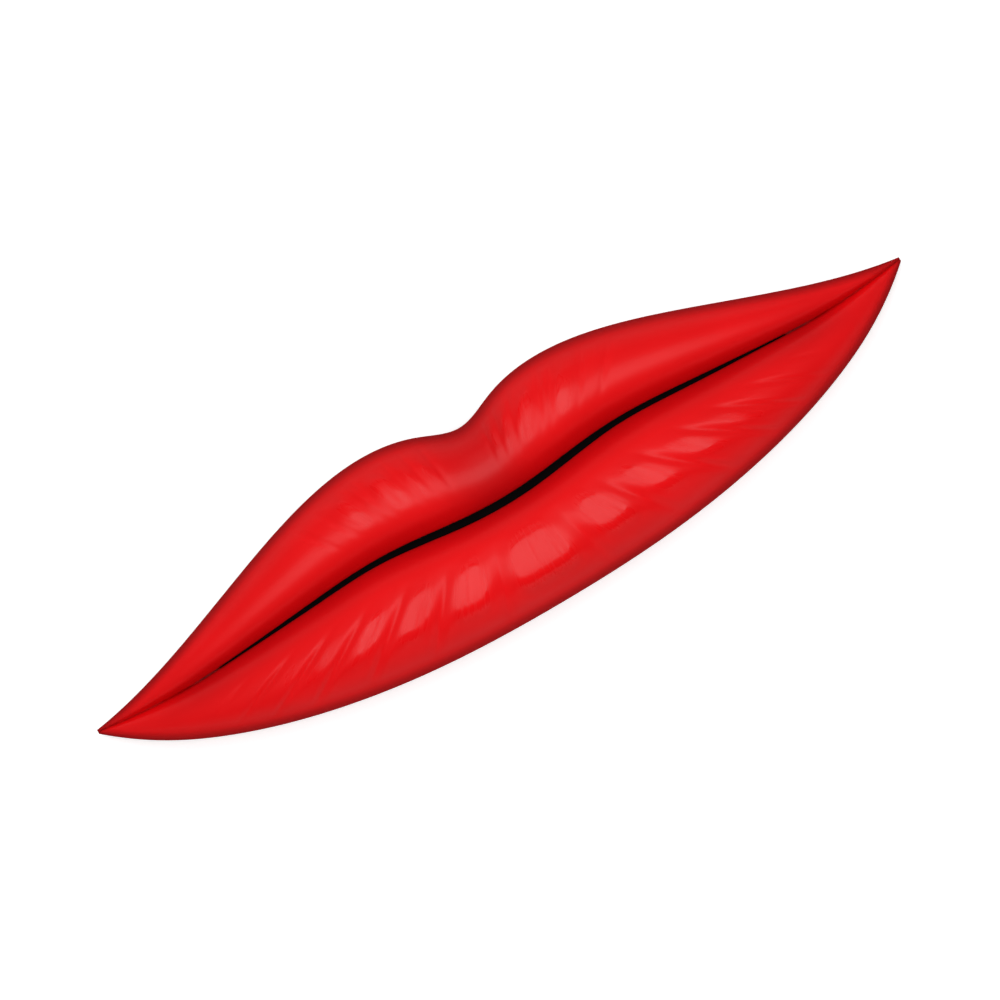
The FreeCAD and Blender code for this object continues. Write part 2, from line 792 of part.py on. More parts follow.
def plate_openings():
    """Everything that is cut through or into the base plate."""
    through = (at.plate_bottom - d.foot_height, at.plate_top + d.foot_height)
    tools = []
    gap = d.key_clearance * 2
    for name, x, y in key_places():
        sides = (about(x, d.key_length + gap), about(y, d.key_width + gap))
        tools.append(rounded_block(f"{name}_opening", *sides, through, d.key_corner))
    for name, y, travel in switch_places():
        length = d.knob_length + travel + d.knob_clearance * 2
        sides = (about(at.switch_x, length), about(y, d.knob_width + d.knob_clearance * 2))
        tools.append(block(f"{name}_opening", *sides, through))
    hook_hole = d.hook_head_radius + d.hook_clearance
    tools.append(rod("hook_opening", at.hook_x, at.keypad_y, through, hook_hole))
    for number, (x, y) in enumerate(housing_screw_places()):
        narrow = d.screw_radius + d.screw_hole_clearance
        wide = d.screw_head_radius + d.screw_recess_clearance
        recess = (through[0], at.plate_bottom + d.screw_head_height)
        tools.append(rod(f"plate_screw_hole_{number}", x, y, through, narrow))
        tools.append(rod(f"plate_screw_recess_{number}", x, y, recess, wide))
    for number, (x, y) in enumerate(foot_places()):
        recess = (through[0], at.plate_bottom + d.foot_recess)
        tools.append(rod(f"foot_recess_{number}", x, y, recess, d.foot_radius + d.foot_clearance))
    tools += sound_openings()
    return tools


def sound_openings():
    """The holes for the earpiece, the microphone and the ringer, and the dish at the ear."""
    tools = []
    pitch = d.sound_hole_pitch
    radius = d.sound_hole_radius
    tools += sound_holes("ear_hole", at.receiver_x, at.end_y, SOUND_RINGS, radius, pitch)
    tools += sound_holes("ringer_hole", at.ringer_x, at.end_y, SOUND_RINGS[:2], radius, pitch)
    tools += sound_holes(
        "mouth_hole", at.microphone_x, at.end_y, SOUND_RINGS[:2],
        d.microphone_hole_radius, d.microphone_hole_pitch,
    )
    dish = (at.plate_bottom, at.plate_bottom + d.ear_dish_depth)
    inner = d.ear_dish_radius - d.ear_dish_slope
    tools.append(taper("ear_dish", at.receiver_x, at.end_y, dish, d.ear_dish_radius, inner))
    return tools


def ring_wall(name, x, y, inner, wall, height):
    """A round wall on the plate that locates a capsule."""
    levels = (at.plate_top, at.plate_top + height)
    outside = rod(f"{name}_outside", x, y, levels, inner + wall)
    inside = rod(f"{name}_inside", x, y, levels, inner)
    return cut(name, outside, [inside])


def post(name, x, y, top, depth):
    """A post on the plate with a pilot hole for a screw from above."""
    outside = rod(f"{name}_outside", x, y, (at.plate_top, top), d.board_post_radius)
    hole = (top - depth - d.screw_radius, top)
    inside = rod(f"{name}_pilot", x, y, hole, d.screw_radius + d.pilot_clearance)
    return cut(name, outside, [inside])


def clamp_post_places():
    """The two posts beside the receiver."""
    return [(at.receiver_x + at.clamp_reach * side, at.end_y) for side in SIDES]


def jack_ribs():
    """Ribs on the plate behind and beside the line socket."""
    levels = (at.plate_top, at.plate_top + d.jack_rib_height)
    half = d.jack_width / 2 + d.jack_rib_clearance
    back = at.jack_back - d.jack_rib_clearance
    across = (at.jack_x - half - d.jack_rib, at.jack_x + half + d.jack_rib)
    ribs = [block("jack_rib_back", across, (back - d.jack_rib, back), levels)]
    middle = at.jack_back + d.jack_depth / 2
    left = (at.jack_x - half - d.jack_rib, at.jack_x - half)
    right = (at.jack_x + half, at.jack_x + half + d.jack_rib)
    ribs.append(block("jack_rib_left", left, (back, middle), levels))
    ribs.append(block("jack_rib_right", right, (back, middle), levels))
    return ribs


def make_base_plate():
    """The moulded bottom cover with its posts, walls and openings."""
    outline = feature("plate_outline", fit.rim_face())
    blank = doc.addObject("Part::Extrusion", "plate_blank")
    blank.Base = outline
    blank.Dir = Vector(0, 0, 1)
    blank.Solid = True
    bind(blank, "LengthFwd", d.plate_thickness)
    raised = [blank]
    for number, (x, y) in enumerate(board_post_places()):
        raised.append(post(f"board_post_{number}", x, y, at.board_bottom, d.board_screw_depth))
    for number, (x, y) in enumerate(clamp_post_places()):
        raised.append(post(f"clamp_post_{number}", x, y, at.receiver_top, d.board_screw_depth))
    raised.append(ring_wall(
        "receiver_ring", at.receiver_x, at.end_y, d.receiver_radius + d.receiver_clearance,
        d.receiver_ring_wall, d.receiver_ring_height,
    ))
    raised.append(ring_wall(
        "ringer_ring", at.ringer_x, at.end_y, d.ringer_radius + d.ringer_clearance,
        d.ringer_ring_wall, d.ringer_ring_height,
    ))
    raised.append(ring_wall(
        "boot_ring", at.microphone_x, at.end_y, d.microphone_radius + d.boot_wall + d.boot_clearance,
        d.boot_ring_wall, d.boot_ring_height,
    ))
    raised += jack_ribs()
    tab_sides = (about(at.jack_x, d.jack_width), (at.jack_back, at.jack_front))
    raised.append(block("jack_tab", *tab_sides, (at.plate_bottom, at.plate_top)))
    hand_in("base_plate", cut("base_plate", fuse("plate_with_walls", raised), plate_openings()))


def make_rubber_feet():
    """Four round rubber feet set into the plate."""
    top = at.plate_bottom + d.foot_recess
    inner = d.foot_radius - d.foot_edge
    feet = []
    for number, (x, y) in enumerate(foot_places()):
        profile = [(0, 0), (inner, 0), (d.foot_radius, d.foot_edge), (d.foot_radius, top), (0, top)]
        feet.append(turned(f"foot_{number}", x, y, profile))
    hand_in("rubber_feet", group("rubber_feet", feet))


def make_screws():
    """The screws of the housing, the board, the ballast and the receiver clamp."""
    length = d.plate_thickness - d.screw_head_height + d.boss_screw_depth
    screws = []
    for number, (x, y) in enumerate(housing_screw_places()):
        screws.append(screw_up(f"housing_screw_{number}", x, y, at.plate_bottom, length))
    hand_in("housing_screws", group("housing_screws", screws))
    screws = []
    for number, (x, y) in enumerate(board_post_places()):
        depth = d.board_thickness + d.board_screw_depth
        screws.append(screw_down(f"board_screw_{number}", x, y, at.board_top, depth))
    hand_in("board_screws", group("board_screws", screws))
    screws = []
    for number, (x, y) in enumerate(ballast_screw_places()):
        seat = at.ballast_bottom - d.screw_head_height
        depth = d.ballast_height + d.boss_screw_depth
        screws.append(screw_up(f"ballast_screw_{number}", x, y, seat, depth))
    hand_in("ballast_screws", group("ballast_screws", screws))
    screws = []
    for number, (x, y) in enumerate(clamp_post_places()):
        depth = d.clamp_thickness + d.board_screw_depth
        screws.append(screw_down(f"receiver_clamp_screw_{number}", x, y, at.clamp_top, depth))
    hand_in("receiver_clamp_screws", group("receiver_clamp_screws", screws))


def make_circuit_board():
    """The board, notched beside the line socket, with holes for its screws and the hook stem."""
    levels = (at.board_bottom, at.board_top)
    blank = block("board_blank", (at.board_left, at.board_right), (at.board_low, at.board_high), levels)
    tools = []
    for number, (x, y) in enumerate(board_post_places()):
        tools.append(rod(f"board_hole_{number}", x, y, levels, d.screw_radius + d.screw_hole_clearance))
    stem_hole = d.hook_stem_radius + d.hook_clearance
    tools.append(rod("board_stem_hole", at.hook_x, at.keypad_y, levels, stem_hole))
    notch_right = at.jack_x + d.jack_width / 2 + d.board_margin
    notch_low = at.jack_back - d.jack_rib - d.jack_rib_clearance * 2
    tools.append(block("board_notch", (at.board_left, notch_right), (notch_low, at.board_high), levels))
    hand_in("circuit_board", cut("circuit_board", blank, tools))


def make_board_parts():
    """The dialler chip, the line capacitors and the crystal on top of the board."""
    chip_y = at.column_y[0]
    chip_bottom = at.board_top + d.chip_lift
    sides = (about(as_size(0), d.chip_length), about(chip_y, d.chip_width))
    parts = [block("chip_body", *sides, (chip_bottom, chip_bottom + d.chip_height))]
    for side in SIDES:
        for index in range(CHIP_LEGS_PER_SIDE):
            leg_x = d.chip_leg_pitch * (index - (CHIP_LEGS_PER_SIDE - 1) / 2)
            leg_y = chip_y + d.chip_width / 2 * side
            sides = (about(leg_x, d.chip_leg_width), about(leg_y, d.chip_leg_width))
            levels = (at.board_top, chip_bottom + d.chip_height / 2)
            parts.append(block(f"chip_leg_{side}_{index}", *sides, levels))
    hand_in("dialler_chip", fuse("dialler_chip", parts))
    cans = []
    top = at.board_top + d.capacitor_height
    radius = d.capacitor_radius
    groove = d.capacitor_groove
    neck = radius - groove
    for index, x in enumerate(at.row_x[1:]):
        profile = [
            (0, at.board_top), (neck, at.board_top), (neck, at.board_top + groove * 3),
            (radius, at.board_top + groove * 4), (radius, top - groove), (neck, top), (0, top),
        ]
        cans.append(turned(f"capacitor_{index}", x, at.column_y[2], profile))
    hand_in("line_capacitors", group("line_capacitors", cans))
    sides = (about(at.function_x, d.crystal_length), about(at.column_y[2], d.crystal_width))
    levels = (at.board_top, at.board_top + d.crystal_height)
    crystal = rounded_block("dial_crystal", *sides, levels, d.crystal_corner)
    hand_in("dial_crystal", crystal)


def make_keypad():
    """The keys and the rubber mat whose domes push them back."""
    left = at.row_x[-1] - d.key_length / 2 - d.mat_margin
    right = at.function_x + d.key_length / 2 + d.mat_margin
    low = at.column_y[0] - d.key_width / 2 - d.mat_margin
    high = at.column_y[2] + d.key_width / 2 + d.mat_margin
    mat = [block("mat_sheet", (left, right), (low, high), (at.mat_bottom, at.board_bottom))]
    for name, x, y in key_places():
        sides = (about(x, d.key_length), about(y, d.key_width))
        cap_levels = (at.key_bottom, at.plate_top)
        cap = rounded_block(f"{name}_cap", *sides, cap_levels, d.key_corner, d.key_edge_round)
        wide = (about(x, d.key_length + d.key_flange * 2), about(y, d.key_width + d.key_flange * 2))
        flange = block(f"{name}_flange", *wide, (at.plate_top, at.flange_top))
        stem = rod(f"{name}_stem", x, y, (at.flange_top, at.dome_bottom), d.key_stem_radius)
        hand_in(name, fuse(name, [cap, flange, stem]))
        levels = (at.dome_bottom, at.mat_bottom)
        mat.append(taper(f"{name}_dome", x, y, levels, d.key_stem_radius, d.dome_radius))
    hand_in("keypad_mat", fuse("keypad_mat", mat))


def make_hook_switch():
    """The plunger under the telephone, its spring, and the lever that it lifts."""
    radius = d.hook_head_radius
    flange = radius + d.hook_flange
    tip = d.hook_stem_tip
    stem = d.hook_stem_radius
    plunger = turned("hook_plunger", at.hook_x, at.keypad_y, [
        (0, 0), (radius - d.hook_head_edge, 0), (radius, d.hook_head_edge), (radius, d.hook_head_height),
        (flange, d.hook_head_height), (flange, at.hook_flange_top), (stem, at.hook_flange_top),
        (stem, at.hook_tip - tip), (stem - tip, at.hook_tip), (0, at.hook_tip),
    ])
    hand_in("hook_plunger", plunger)
    hand_in("hook_spring", feature("hook_spring", hook_spring_shape()))
    make_lever_and_bracket()


def hook_spring_shape():
    """A compression spring of half-turn arcs between the plunger's flange and the board."""
    mean = d.hook_stem_radius.value + d.spring_stem_gap.value + d.spring_wire.value / 2
    wire = d.spring_wire.value / 2
    low = at.hook_flange_top.value + d.spring_seat_gap.value + wire
    high = at.board_bottom.value - d.spring_seat_gap.value - wire
    halves = int(round(d.spring_turns.value * 2))
    climb = (high - low) / halves
    edges = []
    for index in range(halves):
        side = 1 if index % 2 == 0 else -1
        base = low + climb * index
        edges.append(Part.Arc(
            Vector(mean * side, 0, base),
            Vector(0, mean * side, base + climb / 2),
            Vector(-mean * side, 0, base + climb),
        ).toShape())
    start = Part.Wire(Part.Circle(Vector(mean, 0, low), Vector(0, 1, 0), wire).toShape())
    spring = Part.Wire(edges).makePipeShell([start], True, False)
    spring.translate(Vector(at.hook_x.value, at.keypad_y.value, 0))
    print("spring gap between turns", round(climb * 2 - wire * 2, 3))
    return spring


def make_lever_and_bracket():
    """The lever on its pin, in a bracket on the board."""
    pivot_x = at.hook_x + d.lever_arm
    lever_y = about(at.keypad_y, d.lever_width)
    lever_levels = (at.lever_bottom, at.lever_bottom + d.lever_thickness)
    arm = block("lever_arm", (at.hook_x - d.lever_overhang, pivot_x), lever_y, lever_levels)
    barrel = cross_rod("lever_barrel", pivot_x, lever_y, at.pivot_z, d.lever_barrel_radius)
    bore_radius = d.lever_pin_radius + d.lever_pin_clearance
    bore = cross_rod("lever_bore", pivot_x, lever_y, at.pivot_z, bore_radius)
    hand_in("hook_lever", cut("hook_lever", fuse("lever_blank", [arm, barrel]), [bore]))
    inside = d.lever_width + d.bracket_side_gap * 2
    outside = inside + d.bracket_wall * 2
    pin_y = about(at.keypad_y, outside)
    hand_in("hook_pin", cross_rod("hook_pin", pivot_x, pin_y, at.pivot_z, d.lever_pin_radius))
    top = at.pivot_z + d.lever_barrel_radius + d.bracket_cover
    along = about(pivot_x, d.bracket_length)
    blank = block("bracket_blank", along, pin_y, (at.board_top, top))
    floor = at.board_top + d.bracket_wall
    slot = block("bracket_slot", along, about(at.keypad_y, inside), (floor, top))
    hole = cross_rod("bracket_hole", pivot_x, pin_y, at.pivot_z, d.lever_pin_radius)
    hand_in("hook_switch_frame", cut("hook_switch_frame", blank, [slot, hole]))


def make_slide_switches():
    """Two slide switches under the board; their knobs reach through the plate."""
    bottom = at.board_bottom - d.switch_height
    floor = bottom + d.switch_floor
    slider_bottom = floor + d.slider_clearance
    for name, y, travel in switch_places():
        body_y = about(y, d.switch_width)
        along = about(at.switch_x, d.switch_length)
        blank = block(f"{name}_blank", along, body_y, (bottom, at.board_bottom))
        gap = d.slider_clearance * 2
        room = about(at.switch_x, d.slider_length + travel + gap)
        top = slider_bottom + d.slider_height + d.slider_clearance
        cavity = block(f"{name}_cavity", room, about(y, d.slider_width + gap), (floor, top))
        slot_x = about(at.switch_x, d.knob_length + travel + gap)
        slot = block(f"{name}_slot", slot_x, about(y, d.knob_width + gap), (bottom, floor))
        hand_in(f"{name}_body", cut(f"{name}_body", blank, [cavity, slot]))
        knob_x = at.switch_x - travel / 2
        slider_levels = (slider_bottom, slider_bottom + d.slider_height)
        slider_sides = (about(knob_x, d.slider_length), about(y, d.slider_width))
        slider = block(f"{name}_slider", *slider_sides, slider_levels)
        knob_levels = (at.plate_bottom - d.knob_proud, slider_bottom)
        knob_sides = (about(knob_x, d.knob_length), about(y, d.knob_width))
        knob = block(f"{name}_finger", *knob_sides, knob_levels)
        hand_in(f"{name}_knob", fuse(f"{name}_knob", [slider, knob]))


def make_receiver():
    """The earpiece capsule, its gasket and the clamp that holds it down."""
    x = at.receiver_x
    y = at.end_y
    radius = d.receiver_radius
    inside = radius - d.receiver_wall
    bottom = at.receiver_bottom
    top = at.receiver_top
    roof = top - d.receiver_wall
    step = bottom + d.receiver_step + d.diaphragm_thickness
    hand_in("receiver_gasket", turned("receiver_gasket", x, y, [
        (radius - d.gasket_width, at.plate_top), (radius, at.plate_top),
        (radius, bottom), (radius - d.gasket_width, bottom),
    ]))
    hand_in("receiver_frame", turned("receiver_frame", x, y, [
        (0, roof), (inside - d.receiver_wall, roof), (inside - d.receiver_wall, step), (inside, step),
        (inside, bottom), (radius, bottom), (radius, top), (0, top),
    ]))
    disc = inside - d.receiver_clearance
    disc_bottom = step - d.diaphragm_thickness
    hand_in("receiver_diaphragm", turned("receiver_diaphragm", x, y, [
        (0, disc_bottom), (disc, disc_bottom), (disc, step), (0, step),
    ]))
    magnet_bottom = roof - d.magnet_height
    hand_in("receiver_magnet", turned("receiver_magnet", x, y, [
        (0, magnet_bottom), (d.magnet_radius, magnet_bottom), (d.magnet_radius, roof), (0, roof),
    ]))
    half = at.clamp_reach + d.clamp_end
    bar = block("clamp_bar", (x - half, x + half), about(y, d.clamp_width), (top, at.clamp_top))
    holes = []
    for number, (hole_x, hole_y) in enumerate(clamp_post_places()):
        wide = d.screw_radius + d.screw_hole_clearance
        holes.append(rod(f"clamp_hole_{number}", hole_x, hole_y, (top, at.clamp_top), wide))
    hand_in("receiver_clamp", cut("receiver_clamp", bar, holes))


def make_microphone():
    """The microphone capsule in its rubber boot."""
    x = at.microphone_x
    y = at.end_y
    inside = d.microphone_radius
    outside = inside + d.boot_wall
    floor = at.plate_top + d.boot_floor
    top = floor + d.microphone_height
    mouth = inside - d.boot_lip
    brim = top + d.boot_lip
    hand_in("microphone_boot", turned("microphone_boot", x, y, [
        (mouth, at.plate_top), (outside, at.plate_top), (outside, brim), (mouth, brim),
        (mouth, top), (inside, top), (inside, floor), (mouth, floor),
    ]))
    hand_in("microphone_capsule", turned("microphone_capsule", x, y, [
        (0, floor), (inside, floor), (inside, top), (0, top),
    ]))


def make_ringer():
    """The ringer's round case with its sounding disc."""
    x = at.ringer_x
    y = at.end_y
    radius = d.ringer_radius
    inside = radius - d.ringer_wall
    bottom = at.plate_top
    top = bottom + d.ringer_height
    roof = top - d.ringer_wall
    step = bottom + d.ringer_step + d.ringer_disc_thickness
    hand_in("ringer_case", turned("ringer_case", x, y, [
        (0, roof), (inside - d.ringer_wall, roof), (inside - d.ringer_wall, step), (inside, step),
        (inside, bottom), (radius, bottom), (radius, top), (0, top),
    ]))
    disc = inside - d.ringer_clearance
    disc_bottom = step - d.ringer_disc_thickness
    hand_in("ringer_disc", turned("ringer_disc", x, y, [
        (0, disc_bottom), (disc, disc_bottom), (disc, step), (0, step),
    ]))


def make_line_jack():
    """The line socket behind its window, with its sprung contacts."""
    x = at.jack_x
    front = at.jack_front
    levels = (at.plate_top, at.jack_top)
    blank = block("jack_blank", about(x, d.jack_width), (at.jack_back, front), levels)
    socket_levels = (at.socket_bottom, at.socket_top)
    socket = block("jack_socket", about(x, d.socket_width), (front - d.socket_depth, front), socket_levels)
    latch_levels = (at.socket_bottom - d.latch_height, at.socket_bottom)
    latch = block("jack_latch", about(x, d.latch_width), (front - d.latch_depth, front), latch_levels)
    hand_in("line_jack", cut("line_jack", blank, [socket, latch]))
    contacts = []
    back = front - d.socket_depth
    contact_levels = (at.socket_top - d.jack_contact_thickness, at.socket_top)
    for index in range(JACK_CONTACTS):
        contact_x = x + d.jack_contact_pitch * (index - (JACK_CONTACTS - 1) / 2)
        sides = (about(contact_x, d.jack_contact_width), (back, back + d.jack_contact_length))
        contacts.append(block(f"jack_contact_{index}", *sides, contact_levels))
    hand_in("line_jack_contacts", group("line_jack_contacts", contacts))


def make_ballast():
    """The steel bar that gives the light housing its weight."""
    levels = (at.ballast_bottom, at.ballast_top)
    sides = (about(as_size(0), d.ballast_length), about(at.ballast_y, d.ballast_width))
    holes = []
    for number, (x, y) in enumerate(ballast_screw_places()):
        holes.append(rod(f"ballast_hole_{number}", x, y, levels, d.screw_radius + d.screw_hole_clearance))
    hand_in("ballast_bar", cut("ballast_bar", block("ballast_blank", *sides, levels), holes))


def lead_path(points):
    """Straight runs joined by tangent arcs, each arc as large as its two runs allow."""
    edges = []
    start = points[0]
    for before, corner, after in zip(points, points[1:], points[2:]):
        back = before - corner
        ahead = after - corner
        reach = LEAD_ARC_SHARE * min(back.Length, ahead.Length)
        arc_start = corner + back / back.Length * reach
        arc_end = corner + ahead / ahead.Length * reach
        half_turn = (math.pi - back.getAngle(ahead)) / 2
        radius = reach / math.tan(half_turn)
        inward = arc_start + arc_end - corner * 2
        to_centre = math.hypot(radius, reach)
        middle = corner + inward / inward.Length * (to_centre - radius)
        edges.append(Part.LineSegment(start, arc_start).toShape())
        edges.append(Part.Arc(arc_start, middle, arc_end).toShape())
        start = arc_end
    edges.append(Part.LineSegment(start, points[-1]).toShape())
    return Part.Wire(edges)


def lead_pair(label, points, aside):
    """Two insulated wires side by side along one route."""
    solids = []
    radius = d.lead_radius.value
    for side in SIDES:
        shift = aside * (side * d.lead_spacing.value / 2)
        route = [point + shift for point in points]
        path = lead_path(route)
        start = Part.Circle(route[0], route[1] - route[0], radius).toShape()
        tube = path.makePipeShell([Part.Wire(start)], True, False)
        solids.append(tube)
        print(label, "length", round(path.Length, 1), "volume share", round(
            tube.Volume / (math.pi * radius * radius * path.Length), 4))
    hand_in(label, feature(label, Part.makeCompound(solids)))


def make_leads():
    """Short wires from the board to the capsules and the line socket."""
    rise = d.lead_rise.value
    board = at.board_top.value
    end_y = at.end_y.value
    across = Vector(0, 1, 0)
    along = Vector(1, 0, 0)
    x = at.receiver_x.value
    y = end_y + d.clamp_width.value
    top = at.receiver_top.value
    right = at.board_right.value - rise
    lead_pair("receiver_leads", [
        Vector(x, y, top), Vector(x, y, top + rise), Vector(x - 1.2 * rise, y, top + 2 * rise),
        Vector((x + right) / 2, y, top + 2.2 * rise), Vector(right + 0.9 * rise, y, board + 1.6 * rise),
        Vector(right, y, board + rise), Vector(right, y, board),
    ], across)
    x = at.microphone_x.value
    y = end_y - d.lead_spacing.value
    top = at.plate_top.value + d.boot_floor.value + d.microphone_height.value
    left = at.board_left.value + rise
    far = y - 1.4 * rise
    lead_pair("microphone_leads", [
        Vector(x, y, top), Vector(x, y, top + rise),
        Vector(x + 1.2 * rise, y - 0.3 * rise, top + 1.6 * rise),
        Vector(x + 3.4 * rise, y - 0.6 * rise, top + 1.8 * rise),
        Vector((x + left) / 2 + 1.2 * rise, y - rise, top + 1.9 * rise),
        Vector(left - 2.6 * rise, y - 1.3 * rise, board + 1.5 * rise),
        Vector(left - 0.9 * rise, far, board + 1.5 * rise),
        Vector(left, far, board + rise), Vector(left, far, board),
    ], across)
    x = at.ringer_x.value
    y = end_y + 1.4 * rise
    top = at.plate_top.value + d.ringer_height.value
    far = y - 1.7 * rise
    lead_pair("ringer_leads", [
        Vector(x, y, top), Vector(x, y, top + rise),
        Vector(x + 1.2 * rise, y - 0.3 * rise, top + 2 * rise),
        Vector((x + left) / 2, y - 0.9 * rise, board + 1.6 * rise),
        Vector(left - 0.9 * rise, y - 1.4 * rise, board + 1.5 * rise),
        Vector(left, far, board + rise), Vector(left, far, board),
    ], across)
    x = at.jack_x.value
    y = at.jack_back.value
    top = at.jack_top.value
    out = y + 1.2 * rise
    down = y - 1.4 * rise
    lead_pair("jack_leads", [
        Vector(x, out, top), Vector(x, out, top + rise), Vector(x, y + 0.3 * rise, top + 1.8 * rise),
        Vector(x, y - 0.9 * rise, top + 1.6 * rise), Vector(x, down, top + 0.6 * rise),
        Vector(x, down, board),
    ], along)


def check_document():
    """Stop if any object failed or any sub-part has no sound shape."""
    doc.recompute()
    for item in doc.Objects:
        if "Invalid" in item.State or "Error" in item.State:
            raise RuntimeError(f"{item.Name} failed: {item.State}")
    for item in pieces:
        shape = item.Shape
        if shape.isNull() or not shape.isValid() or not shape.Solids:
            raise RuntimeError(f"{item.Label} has no sound solid")


def write_pieces():
    """Write each sub-part to its own file."""
    os.makedirs("parts", exist_ok=True)
    for item in pieces:
        item.Shape.exportStep(f"parts/{item.Label}.step")
        print(item.Label, len(item.Shape.Solids), round(item.Shape.Volume, 1))


d = make_sheet()
at = SimpleNamespace()
work_out_levels()
work_out_places()
skin = LipForm()
fit = LipForm(
    d.shell_wall.value + d.plate_clearance.value,
    d.tip_solid.value + d.plate_clearance.value,
    end_height=d.cavity_end_height.value,
)
jack_places()
make_lips_shell()
make_mouth_line_strip()
make_base_plate()
make_rubber_feet()
make_screws()
make_circuit_board()
make_board_parts()
make_keypad()
make_hook_switch()
make_slide_switches()
make_receiver()
make_microphone()
make_ringer()
make_line_jack()
make_ballast()
make_leads()
check_document()
write_pieces()
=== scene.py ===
import json
import math

import bmesh
import bpy
import numpy as np
from mathutils import Matrix, Vector


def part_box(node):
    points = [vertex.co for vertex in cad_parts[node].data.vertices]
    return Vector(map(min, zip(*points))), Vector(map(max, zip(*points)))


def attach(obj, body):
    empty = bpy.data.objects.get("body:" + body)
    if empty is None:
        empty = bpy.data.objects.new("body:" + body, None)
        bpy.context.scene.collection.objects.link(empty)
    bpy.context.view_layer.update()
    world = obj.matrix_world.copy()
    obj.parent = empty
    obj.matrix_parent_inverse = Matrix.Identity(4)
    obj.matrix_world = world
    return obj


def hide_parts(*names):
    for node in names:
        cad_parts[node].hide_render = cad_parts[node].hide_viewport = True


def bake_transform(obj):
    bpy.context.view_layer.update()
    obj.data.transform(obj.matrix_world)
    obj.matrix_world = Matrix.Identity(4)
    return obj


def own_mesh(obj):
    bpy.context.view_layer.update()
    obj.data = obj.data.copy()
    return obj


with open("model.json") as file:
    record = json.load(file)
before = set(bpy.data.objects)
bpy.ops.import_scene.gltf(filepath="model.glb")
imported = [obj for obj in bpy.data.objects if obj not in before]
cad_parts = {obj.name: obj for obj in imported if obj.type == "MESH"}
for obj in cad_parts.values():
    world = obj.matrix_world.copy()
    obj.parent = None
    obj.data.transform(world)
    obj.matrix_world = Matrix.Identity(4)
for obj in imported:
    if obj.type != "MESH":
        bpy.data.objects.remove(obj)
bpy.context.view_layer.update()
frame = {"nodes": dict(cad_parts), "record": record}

# A one-piece lip-shaped desk telephone, dressed for a studio picture. Lengths are in metres.
# X runs from tip to tip, +Y is the upper lip, +Z is up from the table.

MM = 0.001

# Where the two lip tips are in the picture, in pixels of its frame.
FRAME_PIXELS = 1000
LEFT_TIP_PIXEL = (98, 732)
RIGHT_TIP_PIXEL = (900, 259)
CAMERA_LENS = 300.0
CAMERA_SENSOR = 36.0
CAMERA_CLIPS = (0.01, 100.0)

# Lip form, the same sizes as the solid.
UPPER_LIP_RISE = 26.2 * MM
BOW_NOTCH_RISE = 20.1 * MM
LOWER_LIP_DROP = 31.8 * MM
UPPER_LIP_HEIGHT = 41.0 * MM
LOWER_LIP_HEIGHT = 44.0 * MM
BOW_DIP = 3.0 * MM
BOW_WIDTH = 11.0 * MM
WIDEST_HEIGHT = 18.0 * MM
RIM_UNDERCUT = 3.0 * MM
MOUTH_DEPTH = 9.0 * MM
MOUTH_SWAY = 2.0 * MM
TIP_WIDTH = 1.2 * MM
TIP_HEIGHT = 1.6 * MM
SHELL_WALL = 2.5 * MM
TIP_SOLID = 16.0 * MM
CAVITY_END_HEIGHT = 8.0 * MM
TIP_Y = (LOWER_LIP_DROP - UPPER_LIP_RISE) / 2
UPPER_LOBE_SHARES = ((0.225, 1.0), (0.36, 0.917), (0.52, 0.695), (0.70, 0.395), (0.87, 0.145))
BOW_SHOULDER_SHARES = (0.085, 0.53)
LOWER_CURVE_SHARES = ((0.0, 1.0), (0.29, 0.957), (0.54, 0.811), (0.75, 0.574), (0.90, 0.297))
MOUTH_WAVE_SHARES = (
    (0.0, -1.0), (0.10, -0.675), (0.28, 0.475), (0.46, 0.075),
    (0.67, -0.75), (0.78, -1.0), (0.90, -0.65), (1.0, 0.0),
)
LIP_FULLNESS = 2.3
SWELL_POWER = 0.8

# The groove along the mouth that holds the black strip, and its thin end towards the tips.
MOUTH_LINE_WIDTH = 2.2 * MM
MOUTH_LINE_REACH = 84.0 * MM
MOUTH_TAPER_SHARES = ((0.0, 1.0), (0.24, 0.97), (0.42, 0.74), (0.60, 0.66), (0.83, 0.40), (1.0, 0.18))
MOUTH_GROOVE_DEPTH = 1.5 * MM
GROOVE_END_WIDTH = 0.16 * MM
GROOVE_END_DEPTH = 0.15 * MM

# How finely the lips are meshed, and the room left round the line socket in its window.
LIP_COLUMNS = 480
LOWER_ARC_STEPS = 74
UPPER_ARC_STEPS = 62
SKIRT_STEPS = 8
CAVITY_ARC_STEPS = 11
LIP_SHARP_ANGLE = math.radians(52)
WINDOW_GAP = 0.3 * MM

# Creases fan out from a point: how far it lies to +X for the left and right halves, and its Y from
# the tips. The left half passes into the right one over this blend to each side of the middle.
LOWER_FAN = (1.5 * MM, 1.5 * MM, 20.0 * MM)
UPPER_FAN = (0.0, -7.0 * MM, -47.0 * MM)
FAN_BLEND = 10.0 * MM

# Each crease's angle from the line through its fan's point, and half its width.
LOWER_CREASES = (
    (16.8, 2.9 * MM), (37.3, 2.4 * MM), (50.1, 1.9 * MM), (58.3, 1.5 * MM),
    (63.4, 1.2 * MM), (67.5, 1.1 * MM), (71.0, 1.0 * MM),
)
LOWER_CREASE_DEPTH = 0.80 * MM
UPPER_CREASES = (
    (9.5, 1.4 * MM), (13.5, 1.3 * MM), (17.5, 1.3 * MM), (24.0, 1.3 * MM),
    (26.5, 1.3 * MM), (32.5, 1.4 * MM), (37.0, 1.4 * MM),
)
UPPER_CREASE_DEPTH = 0.32 * MM
CREASE_SHAPE = 1.2

